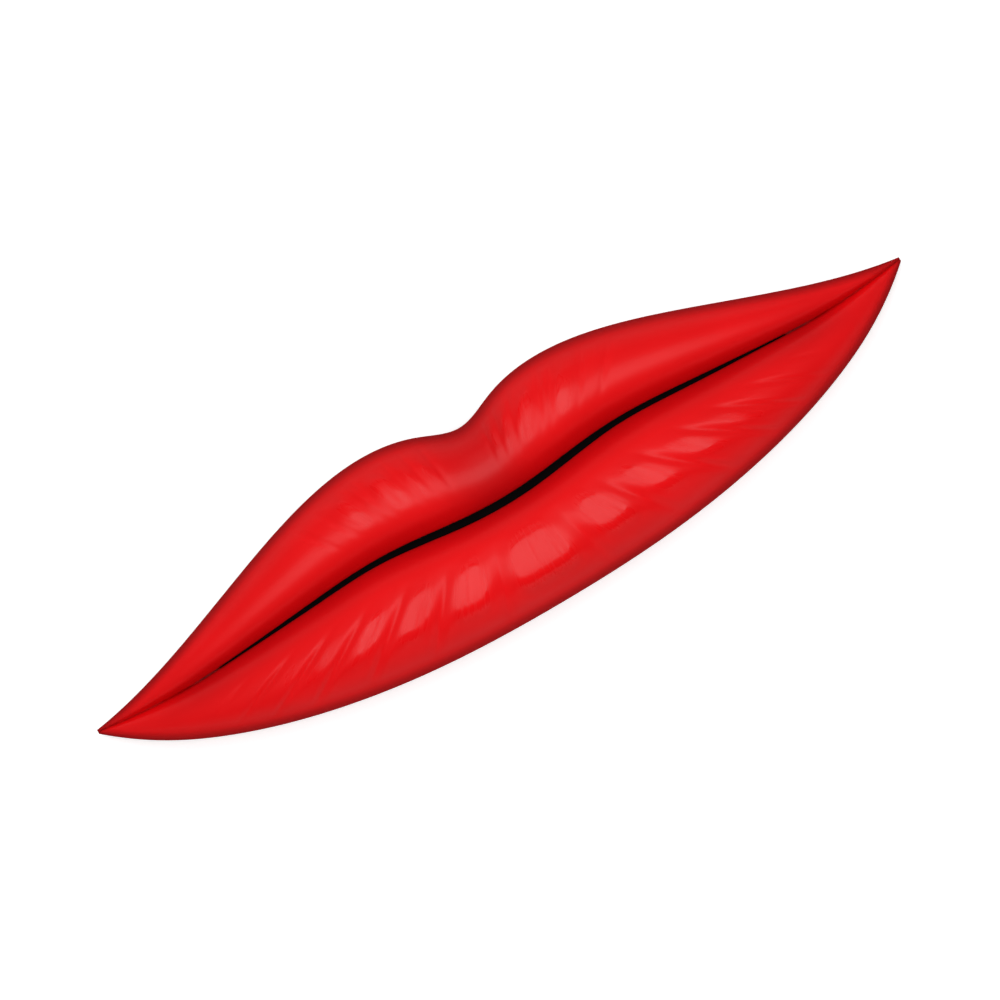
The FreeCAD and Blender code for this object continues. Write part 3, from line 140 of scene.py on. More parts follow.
# Where creases begin and end, as shares of the way from a lip's outer edge to the mouth, and where
# they fade out, as shares of the way from the middle to a tip.
CREASE_BEGIN = (0.22, 0.42)
CREASE_END = (0.56, 0.80)
CREASE_FADE = (0.55, 0.82)

# The flattened, most polished part of each crest: its place from the crest, size and reach along X.
LOWER_FLAT_PLACE = -1.3 * MM
LOWER_FLAT_SIZE = 13.3 * MM
LOWER_FLAT_SAG = 0.12 * MM
LOWER_FLAT_END = 80.0 * MM
LOWER_FLAT_FADE = (0.12, 0.32)
UPPER_FLAT_PLACE = 2.5 * MM
UPPER_FLAT_SIZE = 9.0 * MM
UPPER_FLAT_SAG = 0.22 * MM
UPPER_FLAT_X = (9.0 * MM, 14.0 * MM, 33.0 * MM, 41.0 * MM)

# The pads' soft edge, how much of the lip's own curve they keep, and how creases round and part them.
FLAT_EDGE = 5.0 * MM
FLAT_KEEP = 0.30
PAD_ROUNDING = 0.45
PAD_CORNER = 2.4
PAD_GAP = (0.20, 0.72)

# Painted shade beside the mouth and in the bow's dip: how far it reaches and how strong it is.
MOUTH_PAINTED_SHADE_SPAN = (0.3 * MM, 8.0 * MM)
LOWER_PAINTED_SHADE = 0.36
UPPER_PAINTED_SHADE = 0.12
BOW_PAINTED_SHADE = 0.22
BOW_SHADE_WIDTH = 11.0 * MM
PAINTED_MOUTH_BOW_SHADE_COLOUR = (0.05, 0.002, 0.004)

# The dark line in the groove: how far from the mouth it goes, where it fades out along X, and the
# distance that is added there, so that nothing of it is left.
LINE_EDGE = (0.12 * MM, 0.24 * MM)
LINE_FADE = (88.0 * MM, 108.0 * MM)
LINE_CLEAR = 1.0 * MM
LINE_COLOUR = (0.05, 0.001, 0.002)

# The lips' outer edge: painted shade that deepens the red towards the outline and over the skirt, and
# a matt finish.
PAINTED_EDGE_SHADE_SPAN = (0.1 * MM, 2.6 * MM)
EDGE_MATT = (0.5 * MM, 6.0 * MM)
PAINTED_EDGE_SHADE_COLOUR = (0.40, 0.0030, 0.0045)
EDGE_ROUGHNESS = 0.9

# The lips' red, and the streaky polish of their pads.
LIP_REDS = ((0.74, 0.0030, 0.0045), (0.79, 0.0035, 0.0055))
LIP_ROUGHNESS = 0.36
LIP_SPECULAR = 0.0083
LIP_TINT = (25.0, 25.0, 25.0, 1)
PAD_ROUGHNESS = (0.14, 0.36)
FULL_POLISH = 0.8
STREAK_STRETCH = (44, 70, 1)
STREAK_RANGE = (0.42, 0.66)
STREAK_DEPTH = 0.04 * MM
STREAK_STRENGTH = 0.6

# The room: a table top that is pale to the eye and dark with a small glow to other rays, the fill
# light, and how high the white walls reach.
FLOOR_SIZE = 4.0
FLOOR_DROP = 0.1 * MM
FLOOR_DARK = (0.02, 0.02, 0.02)
FLOOR_PALE = (0.86, 0.86, 0.86)
FLOOR_BOUNCE = 0.18
FLOOR_LIFT = 0.50
WORLD_FILL = 0.24
WORLD_LEAN = 0.14
WALL_TOP = 0.26

# The body that most pieces ride on.
HOUSING = "housing"

# The other materials. The base plate's red is about as deep as the painted shade at the lips' edge.
PLATE_RED = (0.42, 0.005, 0.007)
PLATE_SPECULAR = 0.12
PLASTIC_SPECULAR = 0.5
PLASTIC_ROUGHNESS = 0.42
MOUTH_BLACK = (0.0012, 0.0010, 0.0010)
MOUTH_SPECULAR = 0.01
DARK_INK = (0.02, 0.02, 0.022)
PALE_INK = (0.85, 0.84, 0.80)
INK_ROUGHNESS = 0.5
TRACK_COLOUR = (0.10, 0.14, 0.05)
METALS = ("brushed_steel", "brass", "aluminium", "cast_iron")
METAL_ROUGHNESS = 0.34
NOISE_SPAN = (0.3, 0.7)

# The keys, with the figure and the letters on each.
KEYS = {
    "key_1": ("1", ""), "key_2": ("2", "ABC"), "key_3": ("3", "DEF"),
    "key_4": ("4", "GHI"), "key_5": ("5", "JKL"), "key_6": ("6", "MNO"),
    "key_7": ("7", "PQRS"), "key_8": ("8", "TUV"), "key_9": ("9", "WXYZ"),
    "key_star": ("*", ""), "key_0": ("0", "OPER"), "key_hash": ("#", ""),
    "key_redial": ("REDIAL", ""), "key_flash": ("FLASH", ""), "key_mute": ("MUTE", ""),
}
DIGIT_SIZE = 6.0 * MM
LETTER_SIZE = 2.2 * MM
WORD_SIZE = 2.5 * MM
MARK_SIZE = 1.9 * MM
DIGIT_LIFT = 1.0 * MM
LETTER_DROP = 2.9 * MM
PRINT_THICKNESS = 0.08 * MM
PRINT_CURVE_STEPS = 5
PRINT_WELD = 0.0005 * MM

# Marks by each switch knob, with their place from the knob's -X end at rest.
SWITCH_MARKS = {
    "ringer_switch_knob": (("OFF", -2.0 * MM), ("ON", 11.8 * MM), ("RINGER", 14.4 * MM)),
    "dial_mode_switch_knob": (("TONE", -2.2 * MM), ("PULSE", 11.3 * MM)),
}

# Screws, keypad mat and spring, in the places of their solids.
SCREW_PLACES = (
    (-91.9 * MM, -1.2 * MM), (91.9 * MM, -1.2 * MM),
    (-49.0 * MM, -15.05 * MM), (53.0 * MM, -15.05 * MM),
)
SCREW_RADIUS = 1.1 * MM
SCREW_HEAD_RADIUS = 2.6 * MM
SCREW_HEAD_HEIGHT = 1.4 * MM
SCREW_EDGE = 0.35 * MM
SCREW_CROSS_SIZE = (3.0 * MM, 0.8 * MM)
SCREW_CROSS_DEPTH = 0.9 * MM
SCREW_CROSS_TAPER = (1.4, 0.6)
MAT_SHEET = 1.0 * MM
DOME_TIP = 1.6 * MM
DOME_TIP_FLAT = 0.9 * DOME_TIP
DOME_FOOT = 3.2 * MM
SPRING_WIRE = 0.5 * MM
SPRING_TURNS = 4.5
SPRING_CLOSED_ENDS = 0.5
SPRING_STEPS = 180
SPRING_SIDES = 10

# The crown of a screw's head, as (radius, height) points from near its middle to its edge.
SCREW_CROWN = (
    (0.6 * SCREW_HEAD_RADIUS, 0.1 * SCREW_EDGE),
    (SCREW_HEAD_RADIUS - SCREW_EDGE, 0.4 * SCREW_EDGE),
    (SCREW_HEAD_RADIUS, 1.4 * SCREW_EDGE),
)

# A dome's side, as shares of the way out from its tip to its foot and of its height.
DOME_SIDE = ((0.0, 0.1), (0.2, 0.5), (0.6, 0.85))

# How finely turned and rounded pieces are meshed.
LATHE_STEPS = 32
LATHE_WELD = 0.001 * MM
ROUNDING_STEPS = 3
PART_SHARP_ANGLE = math.radians(35)


def smoothstep(low, high, value):
    """0 below low, 1 above high, and smooth between."""
    share = np.clip((value - low) / (high - low), 0, 1)
    return share * share * (3 - 2 * share)


def end_slope(xs, ys, at_end):
    """The slope at one end of the cubic through the four points there."""
    chosen = slice(-4, None) if at_end else slice(0, 4)
    cubic = np.polyfit(xs[chosen], ys[chosen], 3)
    return np.polyval(np.polyder(cubic), xs[-1] if at_end else xs[0])


def smooth_line(half, shares):
    """A symmetric smooth curve through (share of half, height) points, as a function of x."""
    right = [(share * half, height) for share, height in shares]
    left = [(-x, height) for x, height in reversed(right) if x > 0]
    xs, ys = np.array(left + right).T
    gaps = np.diff(xs)
    rises = np.diff(ys) / gaps
    count = len(xs)
    system = np.eye(count)
    wanted = np.zeros(count)
    wanted[0] = end_slope(xs, ys, False)
    wanted[-1] = end_slope(xs, ys, True)
    for i in range(1, count - 1):
        system[i, i - 1] = 1 / gaps[i - 1]
        system[i, i] = 2 / gaps[i - 1] + 2 / gaps[i]
        system[i, i + 1] = 1 / gaps[i]
        wanted[i] = 3 * (rises[i - 1] / gaps[i - 1] + rises[i] / gaps[i])
    slopes = np.linalg.solve(system, wanted)

    def height(x):
        i = np.clip(np.searchsorted(xs, x) - 1, 0, count - 2)
        t = (x - xs[i]) / gaps[i]
        start = (1 + 2 * t) * (1 - t) ** 2 * ys[i] + t * (1 - t) ** 2 * gaps[i] * slopes[i]
        end = t * t * (3 - 2 * t) * ys[i + 1] + t * t * (t - 1) * gaps[i] * slopes[i + 1]
        return start + end

    return height


class LipForm:
    """The lip surface, set in by a wall, as sections across the length."""

    def __init__(self, inset=0.0, tip_cut=0.0, end_height=TIP_HEIGHT):
        low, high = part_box("lips_shell")
        rise = UPPER_LIP_RISE - inset
        notch = BOW_NOTCH_RISE - inset
        drop = LOWER_LIP_DROP - inset
        self.half = high.x - tip_cut
        self.rim = low.z
        self.end_height = end_height
        self.lower_top = LOWER_LIP_HEIGHT - inset
        self.upper_top = UPPER_LIP_HEIGHT - inset
        self.valley = self.upper_top - MOUTH_DEPTH
        shoulder = (BOW_SHOULDER_SHARES[0], notch + BOW_SHOULDER_SHARES[1] * (rise - notch))
        lobe = [(share, height * rise) for share, height in UPPER_LOBE_SHARES]
        belly = [(share, -height * drop) for share, height in LOWER_CURVE_SHARES]
        wave = [(share, height * MOUTH_SWAY) for share, height in MOUTH_WAVE_SHARES]
        tip = TIP_WIDTH / 2
        self.upper_line = smooth_line(self.half, [(0, notch), shoulder] + lobe + [(1, tip)])
        self.lower_line = smooth_line(self.half, belly + [(1, -tip)])
        self.mouth_line = smooth_line(self.half, wave)
        self.taper = smooth_line(MOUTH_LINE_REACH, MOUTH_TAPER_SHARES)

    def groove(self, x):
        """Half the width and the depth of the mouth groove at x."""
        inside = np.clip(x, -MOUTH_LINE_REACH, MOUTH_LINE_REACH)
        wide = np.maximum(MOUTH_LINE_WIDTH * self.taper(inside), GROOVE_END_WIDTH)
        beyond = smoothstep(MOUTH_LINE_REACH, self.half, np.abs(x))
        deep = MOUTH_GROOVE_DEPTH + (GROOVE_END_DEPTH - MOUTH_GROOVE_DEPTH) * beyond
        return wide * (1 - beyond / 2) / 2, deep

    def fullness(self, x):
        """How full the section at x is: 1 in the middle, 0 at the tips."""
        share = np.minimum(np.abs(x) / self.half, 1)
        return (1 - share * share) ** SWELL_POWER

    def level(self, x, top):
        """The height at x of a line that is at top in the middle."""
        least = self.end_height / (self.lower_top - self.rim)
        swell = least + (1 - least) * self.fullness(x)
        return self.rim + (top - self.rim) * swell

    def arc(self, x, edge_y, top, steps, stop_short):
        """Points over one lip from its widest edge to the mouth groove, and the line of its crest."""
        widest = self.level(x, WIDEST_HEIGHT)
        mouth_y = TIP_Y + self.mouth_line(x)
        mouth_z = self.level(x, self.valley)
        bend = 2 / LIP_FULLNESS
        end = np.pi - np.arcsin(((mouth_z - widest) / (top - widest)) ** (1 / bend))
        reach = (mouth_y - edge_y) / (1 + np.abs(np.cos(end)) ** bend)
        last = stop_short / np.abs(reach) - np.abs(np.cos(end)) ** bend
        end = np.arccos(np.sign(last) * np.abs(last) ** (1 / bend))
        angle = end[:, None] * np.linspace(0, 1, steps + 1)[None, :]
        across = np.sign(np.cos(angle)) * np.abs(np.cos(angle)) ** bend
        points = np.zeros(angle.shape + (3,))
        points[..., 0] = x[:, None]
        points[..., 1] = edge_y[:, None] + reach[:, None] * (1 - across)
        points[..., 2] = widest[:, None] + (top - widest)[:, None] * np.sin(angle) ** bend
        return points, (edge_y + reach, top)

    def skirt(self, x, edge_y, side):
        """Points from the rim up to the widest edge."""
        widest = self.level(x, WIDEST_HEIGHT)
        rim_y = edge_y - side * RIM_UNDERCUT * self.fullness(x)
        middle = (self.rim + widest) / 2
        t = np.linspace(0, 1, SKIRT_STEPS + 1)[None, :-1]
        points = np.zeros((len(x), SKIRT_STEPS, 3))
        points[..., 0] = x[:, None]
        bow = (1 - t) ** 2 * rim_y[:, None] + (1 - (1 - t) ** 2) * edge_y[:, None]
        points[..., 1] = bow
        lift = (1 - t) ** 2 * self.rim + 2 * t * (1 - t) * middle[:, None] + t * t * widest[:, None]
        points[..., 2] = lift
        return points

    def parts(self, x, lower_steps, upper_steps):
        """The lower skirt, lower lip, groove floor, upper lip and upper skirt, each towards +Y."""
        lower_y = TIP_Y + self.lower_line(x)
        upper_y = TIP_Y + self.upper_line(x)
        dip = BOW_DIP * np.exp(-(x / BOW_WIDTH) ** 2)
        wide, deep = self.groove(x)
        lower_top = self.level(x, self.lower_top)
        upper_top = self.level(x, self.upper_top - dip)
        lower, self.lower_crest = self.arc(x, lower_y, lower_top, lower_steps, wide)
        upper, self.upper_crest = self.arc(x, upper_y, upper_top, upper_steps, wide)
        floor = np.stack([lower[:, -1], upper[:, -1]], axis=1)
        floor[..., 2] = (self.level(x, self.valley) - deep)[:, None]
        return [
            self.skirt(x, lower_y, -1), lower, floor,
            upper[:, ::-1], self.skirt(x, upper_y, 1)[:, ::-1],
        ]


def grid_normals(points):
    """Outward normals of a grid of points."""
    along = np.gradient(points, axis=0)
    across = np.gradient(points, axis=1)
    normals = np.cross(along, across)
    return normals / np.linalg.norm(normals, axis=-1, keepdims=True)


def fan_x(x, fan):
    """How far X lies to the side of a fan's middle line."""
    left, right, _ = fan
    return x - left - (right - left) * smoothstep(-FAN_BLEND, FAN_BLEND, x)


def fan_place(points, fan):
    """The angle from a fan's middle line and the distance from its point."""
    aside = fan_x(points[..., 0], fan)
    ahead = np.abs(points[..., 1] - TIP_Y - fan[2])
    return np.arctan2(aside, ahead), np.hypot(aside, ahead)


def crease_field(points, fan, creases, spread=1.0):
    """How far into a crease each point is: 0 outside, 1 along its middle."""
    angle, radius = fan_place(points, fan)
    field = np.zeros(angle.shape)
    for degree, width in creases:
        away = np.abs(np.abs(angle) - math.radians(degree)) * radius / (spread * width)
        field = np.maximum(field, np.clip(1 - away, 0, 1))
    return field


def flatten(points, crest, place, size, sag, ends, corner):
    """Settle part of a crest towards level; gives the new points and how far each was settled."""
    crest_y, crest_z = crest
    size = np.maximum(size, FLAT_EDGE)[:, None] * (1 - PAD_ROUNDING * corner)
    away = np.abs(points[..., 1] - crest_y[:, None] - place)
    inside = 1 - smoothstep(size / 2 - FLAT_EDGE / 2, size / 2 + FLAT_EDGE / 2, away)
    mask = inside * ends[:, None] * (1 - smoothstep(*PAD_GAP, corner))
    level = (crest_z - sag)[:, None]
    settled = points.copy()
    settled[..., 2] += mask * (1 - FLAT_KEEP) * (level - points[..., 2])
    return settled, mask


def flatten_lower(x, points, crest):
    """The lower lip's long row of polished pads, tallest in the middle."""
    share = np.clip(1 - (x / LOWER_FLAT_END) ** 2, 0, 1)
    ends = smoothstep(*LOWER_FLAT_FADE, share)
    sag = LOWER_FLAT_SAG * share ** LIP_FULLNESS
    corner = crease_field(points, LOWER_FAN, LOWER_CREASES, PAD_CORNER)
    return flatten(points, crest, LOWER_FLAT_PLACE, LOWER_FLAT_SIZE * share, sag, ends, corner)


def flatten_upper(x, points, crest):
    """The upper lip's polished pad on each lobe."""
    start, full, leave, end = UPPER_FLAT_X
    aside = np.abs(fan_x(x, UPPER_FAN))
    ends = smoothstep(start, full, aside) * (1 - smoothstep(leave, end, aside))
    size = np.full(len(x), UPPER_FLAT_SIZE)
    sag = np.full(len(x), UPPER_FLAT_SAG)
    corner = crease_field(points, UPPER_FAN, UPPER_CREASES, PAD_CORNER)
    return flatten(points, crest, UPPER_FLAT_PLACE, size, sag, ends, corner)


def crease(points, share, fan, creases, depth):
    """Press a fan of soft creases into one lip; share is 0 at its outer edge and 1 at the mouth."""
    groove = crease_field(points, fan, creases) ** CREASE_SHAPE
    fade = smoothstep(*CREASE_BEGIN, share) * (1 - smoothstep(*CREASE_END, share))
    half = np.abs(points[:, :1, 0]).max()
    ends = 1 - smoothstep(*CREASE_FADE, np.abs(points[..., 0]) / half)
    pressed = groove * fade[None, :] * ends
    return points - grid_normals(points) * (depth * pressed)[..., None], pressed


def polished(pad, groove):
    """How polished each point is: the pads, less so towards the creases."""
    return pad * (1 - groove) ** 2


def grid_faces(start, columns, rows, outward):
    """Quads over a grid of vertices that starts at the given number."""
    faces = []
    for i in range(columns - 1):
        for j in range(rows - 1):
            corner = start + i * rows + j
            quad = (corner, corner + rows, corner + rows + 1, corner + 1)
            faces.append(quad if outward else quad[::-1])
    return faces


def pressed_lips(skin, x):
    """The outer surface with its pads and creases, and how polished each of its points is."""
    lower_skirt, lower, floor, upper, upper_skirt = skin.parts(x, LOWER_ARC_STEPS, UPPER_ARC_STEPS)
    lower_share = np.linspace(0, 1, LOWER_ARC_STEPS + 1)
    upper_share = np.linspace(1, 0, UPPER_ARC_STEPS + 1)
    lower, lower_pad = flatten_lower(x, lower, skin.lower_crest)
    upper, upper_pad = flatten_upper(x, upper, skin.upper_crest)
    lower, lower_groove = crease(lower, lower_share, LOWER_FAN, LOWER_CREASES, LOWER_CREASE_DEPTH)
    upper, upper_groove = crease(upper, upper_share, UPPER_FAN, UPPER_CREASES, UPPER_CREASE_DEPTH)
    polish = [
        np.zeros(lower_skirt.shape[:2]), polished(lower_pad, lower_groove), np.zeros(floor.shape[:2]),
        polished(upper_pad, upper_groove), np.zeros(upper_skirt.shape[:2]),
    ]
    outer = np.concatenate([lower_skirt, lower, floor, upper, upper_skirt], axis=1)
    return outer, np.concatenate(polish, axis=1)


def shell_faces(columns, rows, inner_rows):
    """Faces of a closed shell: its outside, its hollow, the rim between them, and their ends."""
    start = columns * rows
    faces = grid_faces(0, columns, rows, True) + grid_faces(start, columns, inner_rows, False)
    for i in range(columns - 1):
        out_low, out_high = i * rows, (i + 1) * rows - 1
        in_low, in_high = start + i * inner_rows, start + (i + 1) * inner_rows - 1
        faces.append((out_low, in_low, in_low + inner_rows, out_low + rows))
        faces.append((out_high, out_high + rows, in_high + inner_rows, in_high))
    last_out, last_in = (columns - 1) * rows, start + (columns - 1) * inner_rows
    faces.append((0, rows - 1, start + inner_rows - 1, start))
    faces.append((last_out, last_in, last_in + inner_rows - 1, last_out + rows - 1))
    faces.append(tuple(range(rows)))
    faces.append(tuple(range(last_out + rows - 1, last_out - 1, -1)))
    faces.append(tuple(range(start + inner_rows - 1, start - 1, -1)))
    faces.append(tuple(range(last_in, last_in + inner_rows)))
    return faces


def lip_mesh():
    """Both lips as one closed shell, with its rim and its hollow."""
    skin = LipForm()
    cavity = LipForm(SHELL_WALL, TIP_SOLID, CAVITY_END_HEIGHT)
    x = np.linspace(-skin.half, skin.half, LIP_COLUMNS + 1)
    outer, polish = pressed_lips(skin, x)
    inner_x = x / skin.half * cavity.half
    inner = np.concatenate(cavity.parts(inner_x, CAVITY_ARC_STEPS, CAVITY_ARC_STEPS), axis=1)
    points = np.concatenate([outer.reshape(-1, 3), inner.reshape(-1, 3)])
    mesh = bpy.data.meshes.new("lips")
    mesh.from_pydata(points.tolist(), [], shell_faces(*outer.shape[:2], inner.shape[1]))
    mark_lips(mesh, skin, points, np.concatenate([polish.ravel(), np.zeros(inner.size // 3)]))
    return mesh


def edge_field(skin, points, x, upper):
    """How far each point lies inside the outline; 0 on the skirt."""
    above = TIP_Y + skin.upper_line(x) - points[:, 1]
    below = points[:, 1] - TIP_Y - skin.lower_line(x)
    skirt = points[:, 2] < skin.level(x, WIDEST_HEIGHT)
    # The skirt counts as on the outline, so the painted edge shade covers it fully.
    return np.where(skirt, 0, np.maximum(np.where(upper, above, below), 0))


def painted_shade_strength(x, from_mouth, fade, upper):
    """How strong the painted shade is beside the mouth and in the bow."""
    near = (1 - smoothstep(*MOUTH_PAINTED_SHADE_SPAN, from_mouth)) * (1 - fade)
    bow = BOW_PAINTED_SHADE * np.exp(-(x / BOW_SHADE_WIDTH) ** 2)
    return np.where(upper, UPPER_PAINTED_SHADE * near + bow, LOWER_PAINTED_SHADE * near)


def mark_lips(mesh, skin, points, polish):
    """Store what the lip material reads: the fans as a map, and four values at each point."""
    x = np.clip(points[:, 0], -skin.half, skin.half)
    mouth_y = TIP_Y + skin.mouth_line(x)
    upper = points[:, 1] > mouth_y
    from_mouth = np.abs(points[:, 1] - mouth_y)
    fade = smoothstep(*LINE_FADE, np.abs(x))
    low_angle, low_radius = fan_place(points, LOWER_FAN)
    high_angle, high_radius = fan_place(points, UPPER_FAN)
    angle = np.where(upper, high_angle, low_angle)
    fan = np.stack([angle, np.where(upper, high_radius, low_radius)], axis=1)
    corner = np.zeros(len(mesh.loops), np.int32)
    mesh.loops.foreach_get("vertex_index", corner)
    layer = mesh.uv_layers.new(name="fan")
    layer.data.foreach_set("uv", fan[corner].astype(np.float32).ravel())
    fields = {
        "from_mouth": from_mouth + LINE_CLEAR * fade,
        "polish": polish,
        "from_edge": edge_field(skin, points, x, upper),
        # painted shade beside the mouth and in the bow, which darkens the lip colour there
        "painted_mouth_bow_shade": painted_shade_strength(x, from_mouth, fade, upper),
    }
    for name, values in fields.items():
        attribute = mesh.attributes.new(name, "FLOAT", "POINT")
        attribute.data.foreach_set("value", values.astype(np.float32))


def add_piece(name, mesh, material, body):
    """Put a finished mesh on a body, with its material."""
    piece = bpy.data.objects.new(name, mesh)
    bpy.context.scene.collection.objects.link(piece)
    mesh.materials.clear()
    mesh.materials.append(material)
    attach(piece, body)
    return piece


def final_mesh(thing):
    """A thing's mesh with its modifiers applied."""
    bpy.context.view_layer.update()
    seen = thing.evaluated_get(bpy.context.evaluated_depsgraph_get())
    return bpy.data.meshes.new_from_object(seen)


def cut_away(mesh, cutter):
    """The mesh with the cutter's volume taken out."""
    body = bpy.data.objects.new("cut_body", mesh)
    tool = bpy.data.objects.new("cut_tool", cutter)
    for thing in (body, tool):
        bpy.context.scene.collection.objects.link(thing)
    modifier = body.modifiers.new("cut", "BOOLEAN")
    modifier.operation = "DIFFERENCE"
    modifier.solver = "EXACT"
    modifier.object = tool
    result = final_mesh(body)
    for thing in (body, tool):
        bpy.data.objects.remove(thing)
    return result


def mesh_from(shape, name):
    """A finished shape as a mesh."""
    mesh = bpy.data.meshes.new(name)
    shape.to_mesh(mesh)
    shape.free()
    return mesh


def box_mesh(name, low, high, rounding=0.0):
    """A box between two corners, with rounded edges if asked."""
    shape = bmesh.new()
    bmesh.ops.create_cube(shape, size=1)
    middle = (Vector(low) + Vector(high)) / 2
    size = Vector(high) - Vector(low)
    matrix = Matrix.Translation(middle) @ Matrix.Diagonal(size.to_4d())
    bmesh.ops.transform(shape, matrix=matrix, verts=shape.verts)
    if rounding:
        bmesh.ops.bevel(
            shape, geom=shape.edges[:], offset=rounding, segments=ROUNDING_STEPS, affect="EDGES")
    return mesh_from(shape, name)


def middle_of(node):
    """The X and Y of the middle of a node's box."""
    low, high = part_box(node)
    return (low.x + high.x) / 2, (low.y + high.y) / 2


def make_lips():
    """The red lips, with the window in front of the line socket."""
    low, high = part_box("line_jack")
    window = box_mesh(
        "window",
        (low.x - WINDOW_GAP, high.y - 2 * SHELL_WALL, -WINDOW_GAP),
        (high.x + WINDOW_GAP, TIP_Y + UPPER_LIP_RISE + SHELL_WALL, high.z + WINDOW_GAP),
    )
    mesh = cut_away(lip_mesh(), window)
    mesh.shade_smooth()
    mesh.set_sharp_from_angle(angle=LIP_SHARP_ANGLE)
    lips = add_piece("lips", mesh, lip_material(), HOUSING)
    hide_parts("lips_shell")


def lathe(name, profile, x=0.0, y=0.0):
    """A closed turned shape about a vertical line, from (radius, height) points."""
    shape = bmesh.new()
    corners = [shape.verts.new((x + radius, y, height)) for radius, height in profile]
    edges = [shape.edges.new(pair) for pair in zip(corners, corners[1:])]
    bmesh.ops.spin(
        shape, geom=corners + edges, cent=(x, y, 0), axis=(0, 0, 1),
        angle=2 * math.pi, steps=LATHE_STEPS)
    bmesh.ops.remove_doubles(shape, verts=shape.verts, dist=LATHE_WELD)
    bmesh.ops.recalc_face_normals(shape, faces=shape.faces)
    return mesh_from(shape, name)


def joined(name, meshes):
    """Several meshes as one, smooth except at sharp edges."""
    shape = bmesh.new()
    for mesh in meshes:
        shape.from_mesh(mesh)
    mesh = mesh_from(shape, name)
    mesh.shade_smooth()
    mesh.set_sharp_from_angle(angle=PART_SHARP_ANGLE)
    return mesh


def moved(mesh, x, y):
    """A copy of a mesh moved across."""
    copy = mesh.copy()
    copy.transform(Matrix.Translation((x, y, 0)))
    return copy


def screw_mesh():
    """A pan head screw driven upwards, with a cross recess in its head."""
    low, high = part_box("housing_screws")
    bottom, top = low.z, high.z
    seat = bottom + SCREW_HEAD_HEIGHT
    crown = [(radius, bottom + height) for radius, height in SCREW_CROWN]
    shank = [(SCREW_RADIUS, seat), (SCREW_RADIUS, top - SCREW_RADIUS / 2), (SCREW_RADIUS / 2, top)]
    profile = [(0, bottom)] + crown + [(SCREW_HEAD_RADIUS, seat)] + shank + [(0, top)]
    mesh = lathe("screw", profile)
    return cut_away(mesh, cross_mesh(bottom - SCREW_CROSS_DEPTH, bottom + SCREW_CROSS_DEPTH))


def cross_mesh(low, high):
    """A cross for cutting a screw's recess, narrower at its top."""
    long, thin = SCREW_CROSS_SIZE
    arm, side = long / 2, thin / 2
    outline = []
    for x, y in ((1, 0), (0, 1), (-1, 0), (0, -1)):
        outline.append((arm * x + side * y, arm * y - side * x))
        outline.append((arm * x - side * y, arm * y + side * x))
        outline.append((side * (x - y), side * (x + y)))
    shape = bmesh.new()
    rings = []
    for height, scale in zip((low, high), SCREW_CROSS_TAPER):
        rings.append([shape.verts.new((x * scale, y * scale, height)) for x, y in outline])
    count = len(outline)
    for i in range(count):
        j = (i + 1) % count
        shape.faces.new((rings[0][i], rings[0][j], rings[1][j], rings[1][i]))
    shape.faces.new(rings[0][::-1])
    shape.faces.new(rings[1])
    bmesh.ops.triangulate(shape, faces=shape.faces)
    bmesh.ops.recalc_face_normals(shape, faces=shape.faces)
    return mesh_from(shape, "cross")


def make_screws(material):
    """The four screws that hold the base plate."""
    screw = screw_mesh()
    mesh = joined("housing_screw_set", [moved(screw, x, y) for x, y in SCREW_PLACES])
    piece = add_piece("cross_screws", mesh, material, HOUSING)
    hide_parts("housing_screws")


def make_mat(material):
    """The rubber keypad mat: a sheet, and a collapsing dome over each key."""
    low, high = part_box("keypad_mat")
    sheet_z = high.z - MAT_SHEET
    mesh = box_mesh("mat_sheet", (low.x, low.y, sheet_z), high, MAT_SHEET / 4)
    sheet = add_piece("mat_sheet", joined("mat_sheet", [mesh]), material, HOUSING)
    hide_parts("keypad_mat")
    tall = sheet_z - low.z
    side = [(DOME_TIP + out * (DOME_FOOT - DOME_TIP), low.z + up * tall) for out, up in DOME_SIDE]
    profile = [(0, low.z), (DOME_TIP_FLAT, low.z)] + side + [(DOME_FOOT, sheet_z), (0, sheet_z)]
    for key in KEYS:
        x, y = middle_of(key)
        mesh = joined("dome", [lathe("dome", profile, x, y)])
        dome = add_piece(f"mat_dome_{key}", mesh, material, HOUSING)
        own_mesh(dome)


def coil_mesh(x, y, low, high):
    """A coil of round wire between two corners, with closer turns at its ends."""
    wire = SPRING_WIRE / 2
    radius = (high.x - low.x) / 2 - wire
    turn = np.linspace(0, 1, SPRING_STEPS + 1)
    angle = 2 * math.pi * SPRING_TURNS * turn
    rise = smoothstep(0, 1, turn) * SPRING_CLOSED_ENDS + turn * (1 - SPRING_CLOSED_ENDS)
    height = low.z + wire + (high.z - low.z - 2 * wire) * rise
    around = np.linspace(0, 2 * math.pi, SPRING_SIDES, endpoint=False)
    reach = radius + wire * np.cos(around)[None, :]
    points = np.stack([
        x + np.cos(angle)[:, None] * reach,
        y + np.sin(angle)[:, None] * reach,
        height[:, None] + wire * np.sin(around)[None, :],
    ], axis=-1)
    faces = []
    for i in range(SPRING_STEPS):
        for j in range(SPRING_SIDES):
            following = (j + 1) % SPRING_SIDES
            start, after = i * SPRING_SIDES, (i + 1) * SPRING_SIDES
            faces.append((start + j, start + following, after + following, after + j))
    faces.append(tuple(range(SPRING_SIDES)))
    last = SPRING_STEPS * SPRING_SIDES
    faces.append(tuple(range(last + SPRING_SIDES - 1, last - 1, -1)))
    mesh = bpy.data.meshes.new("spring")
    mesh.from_pydata(points.reshape(-1, 3).tolist(), [], faces)
    return mesh


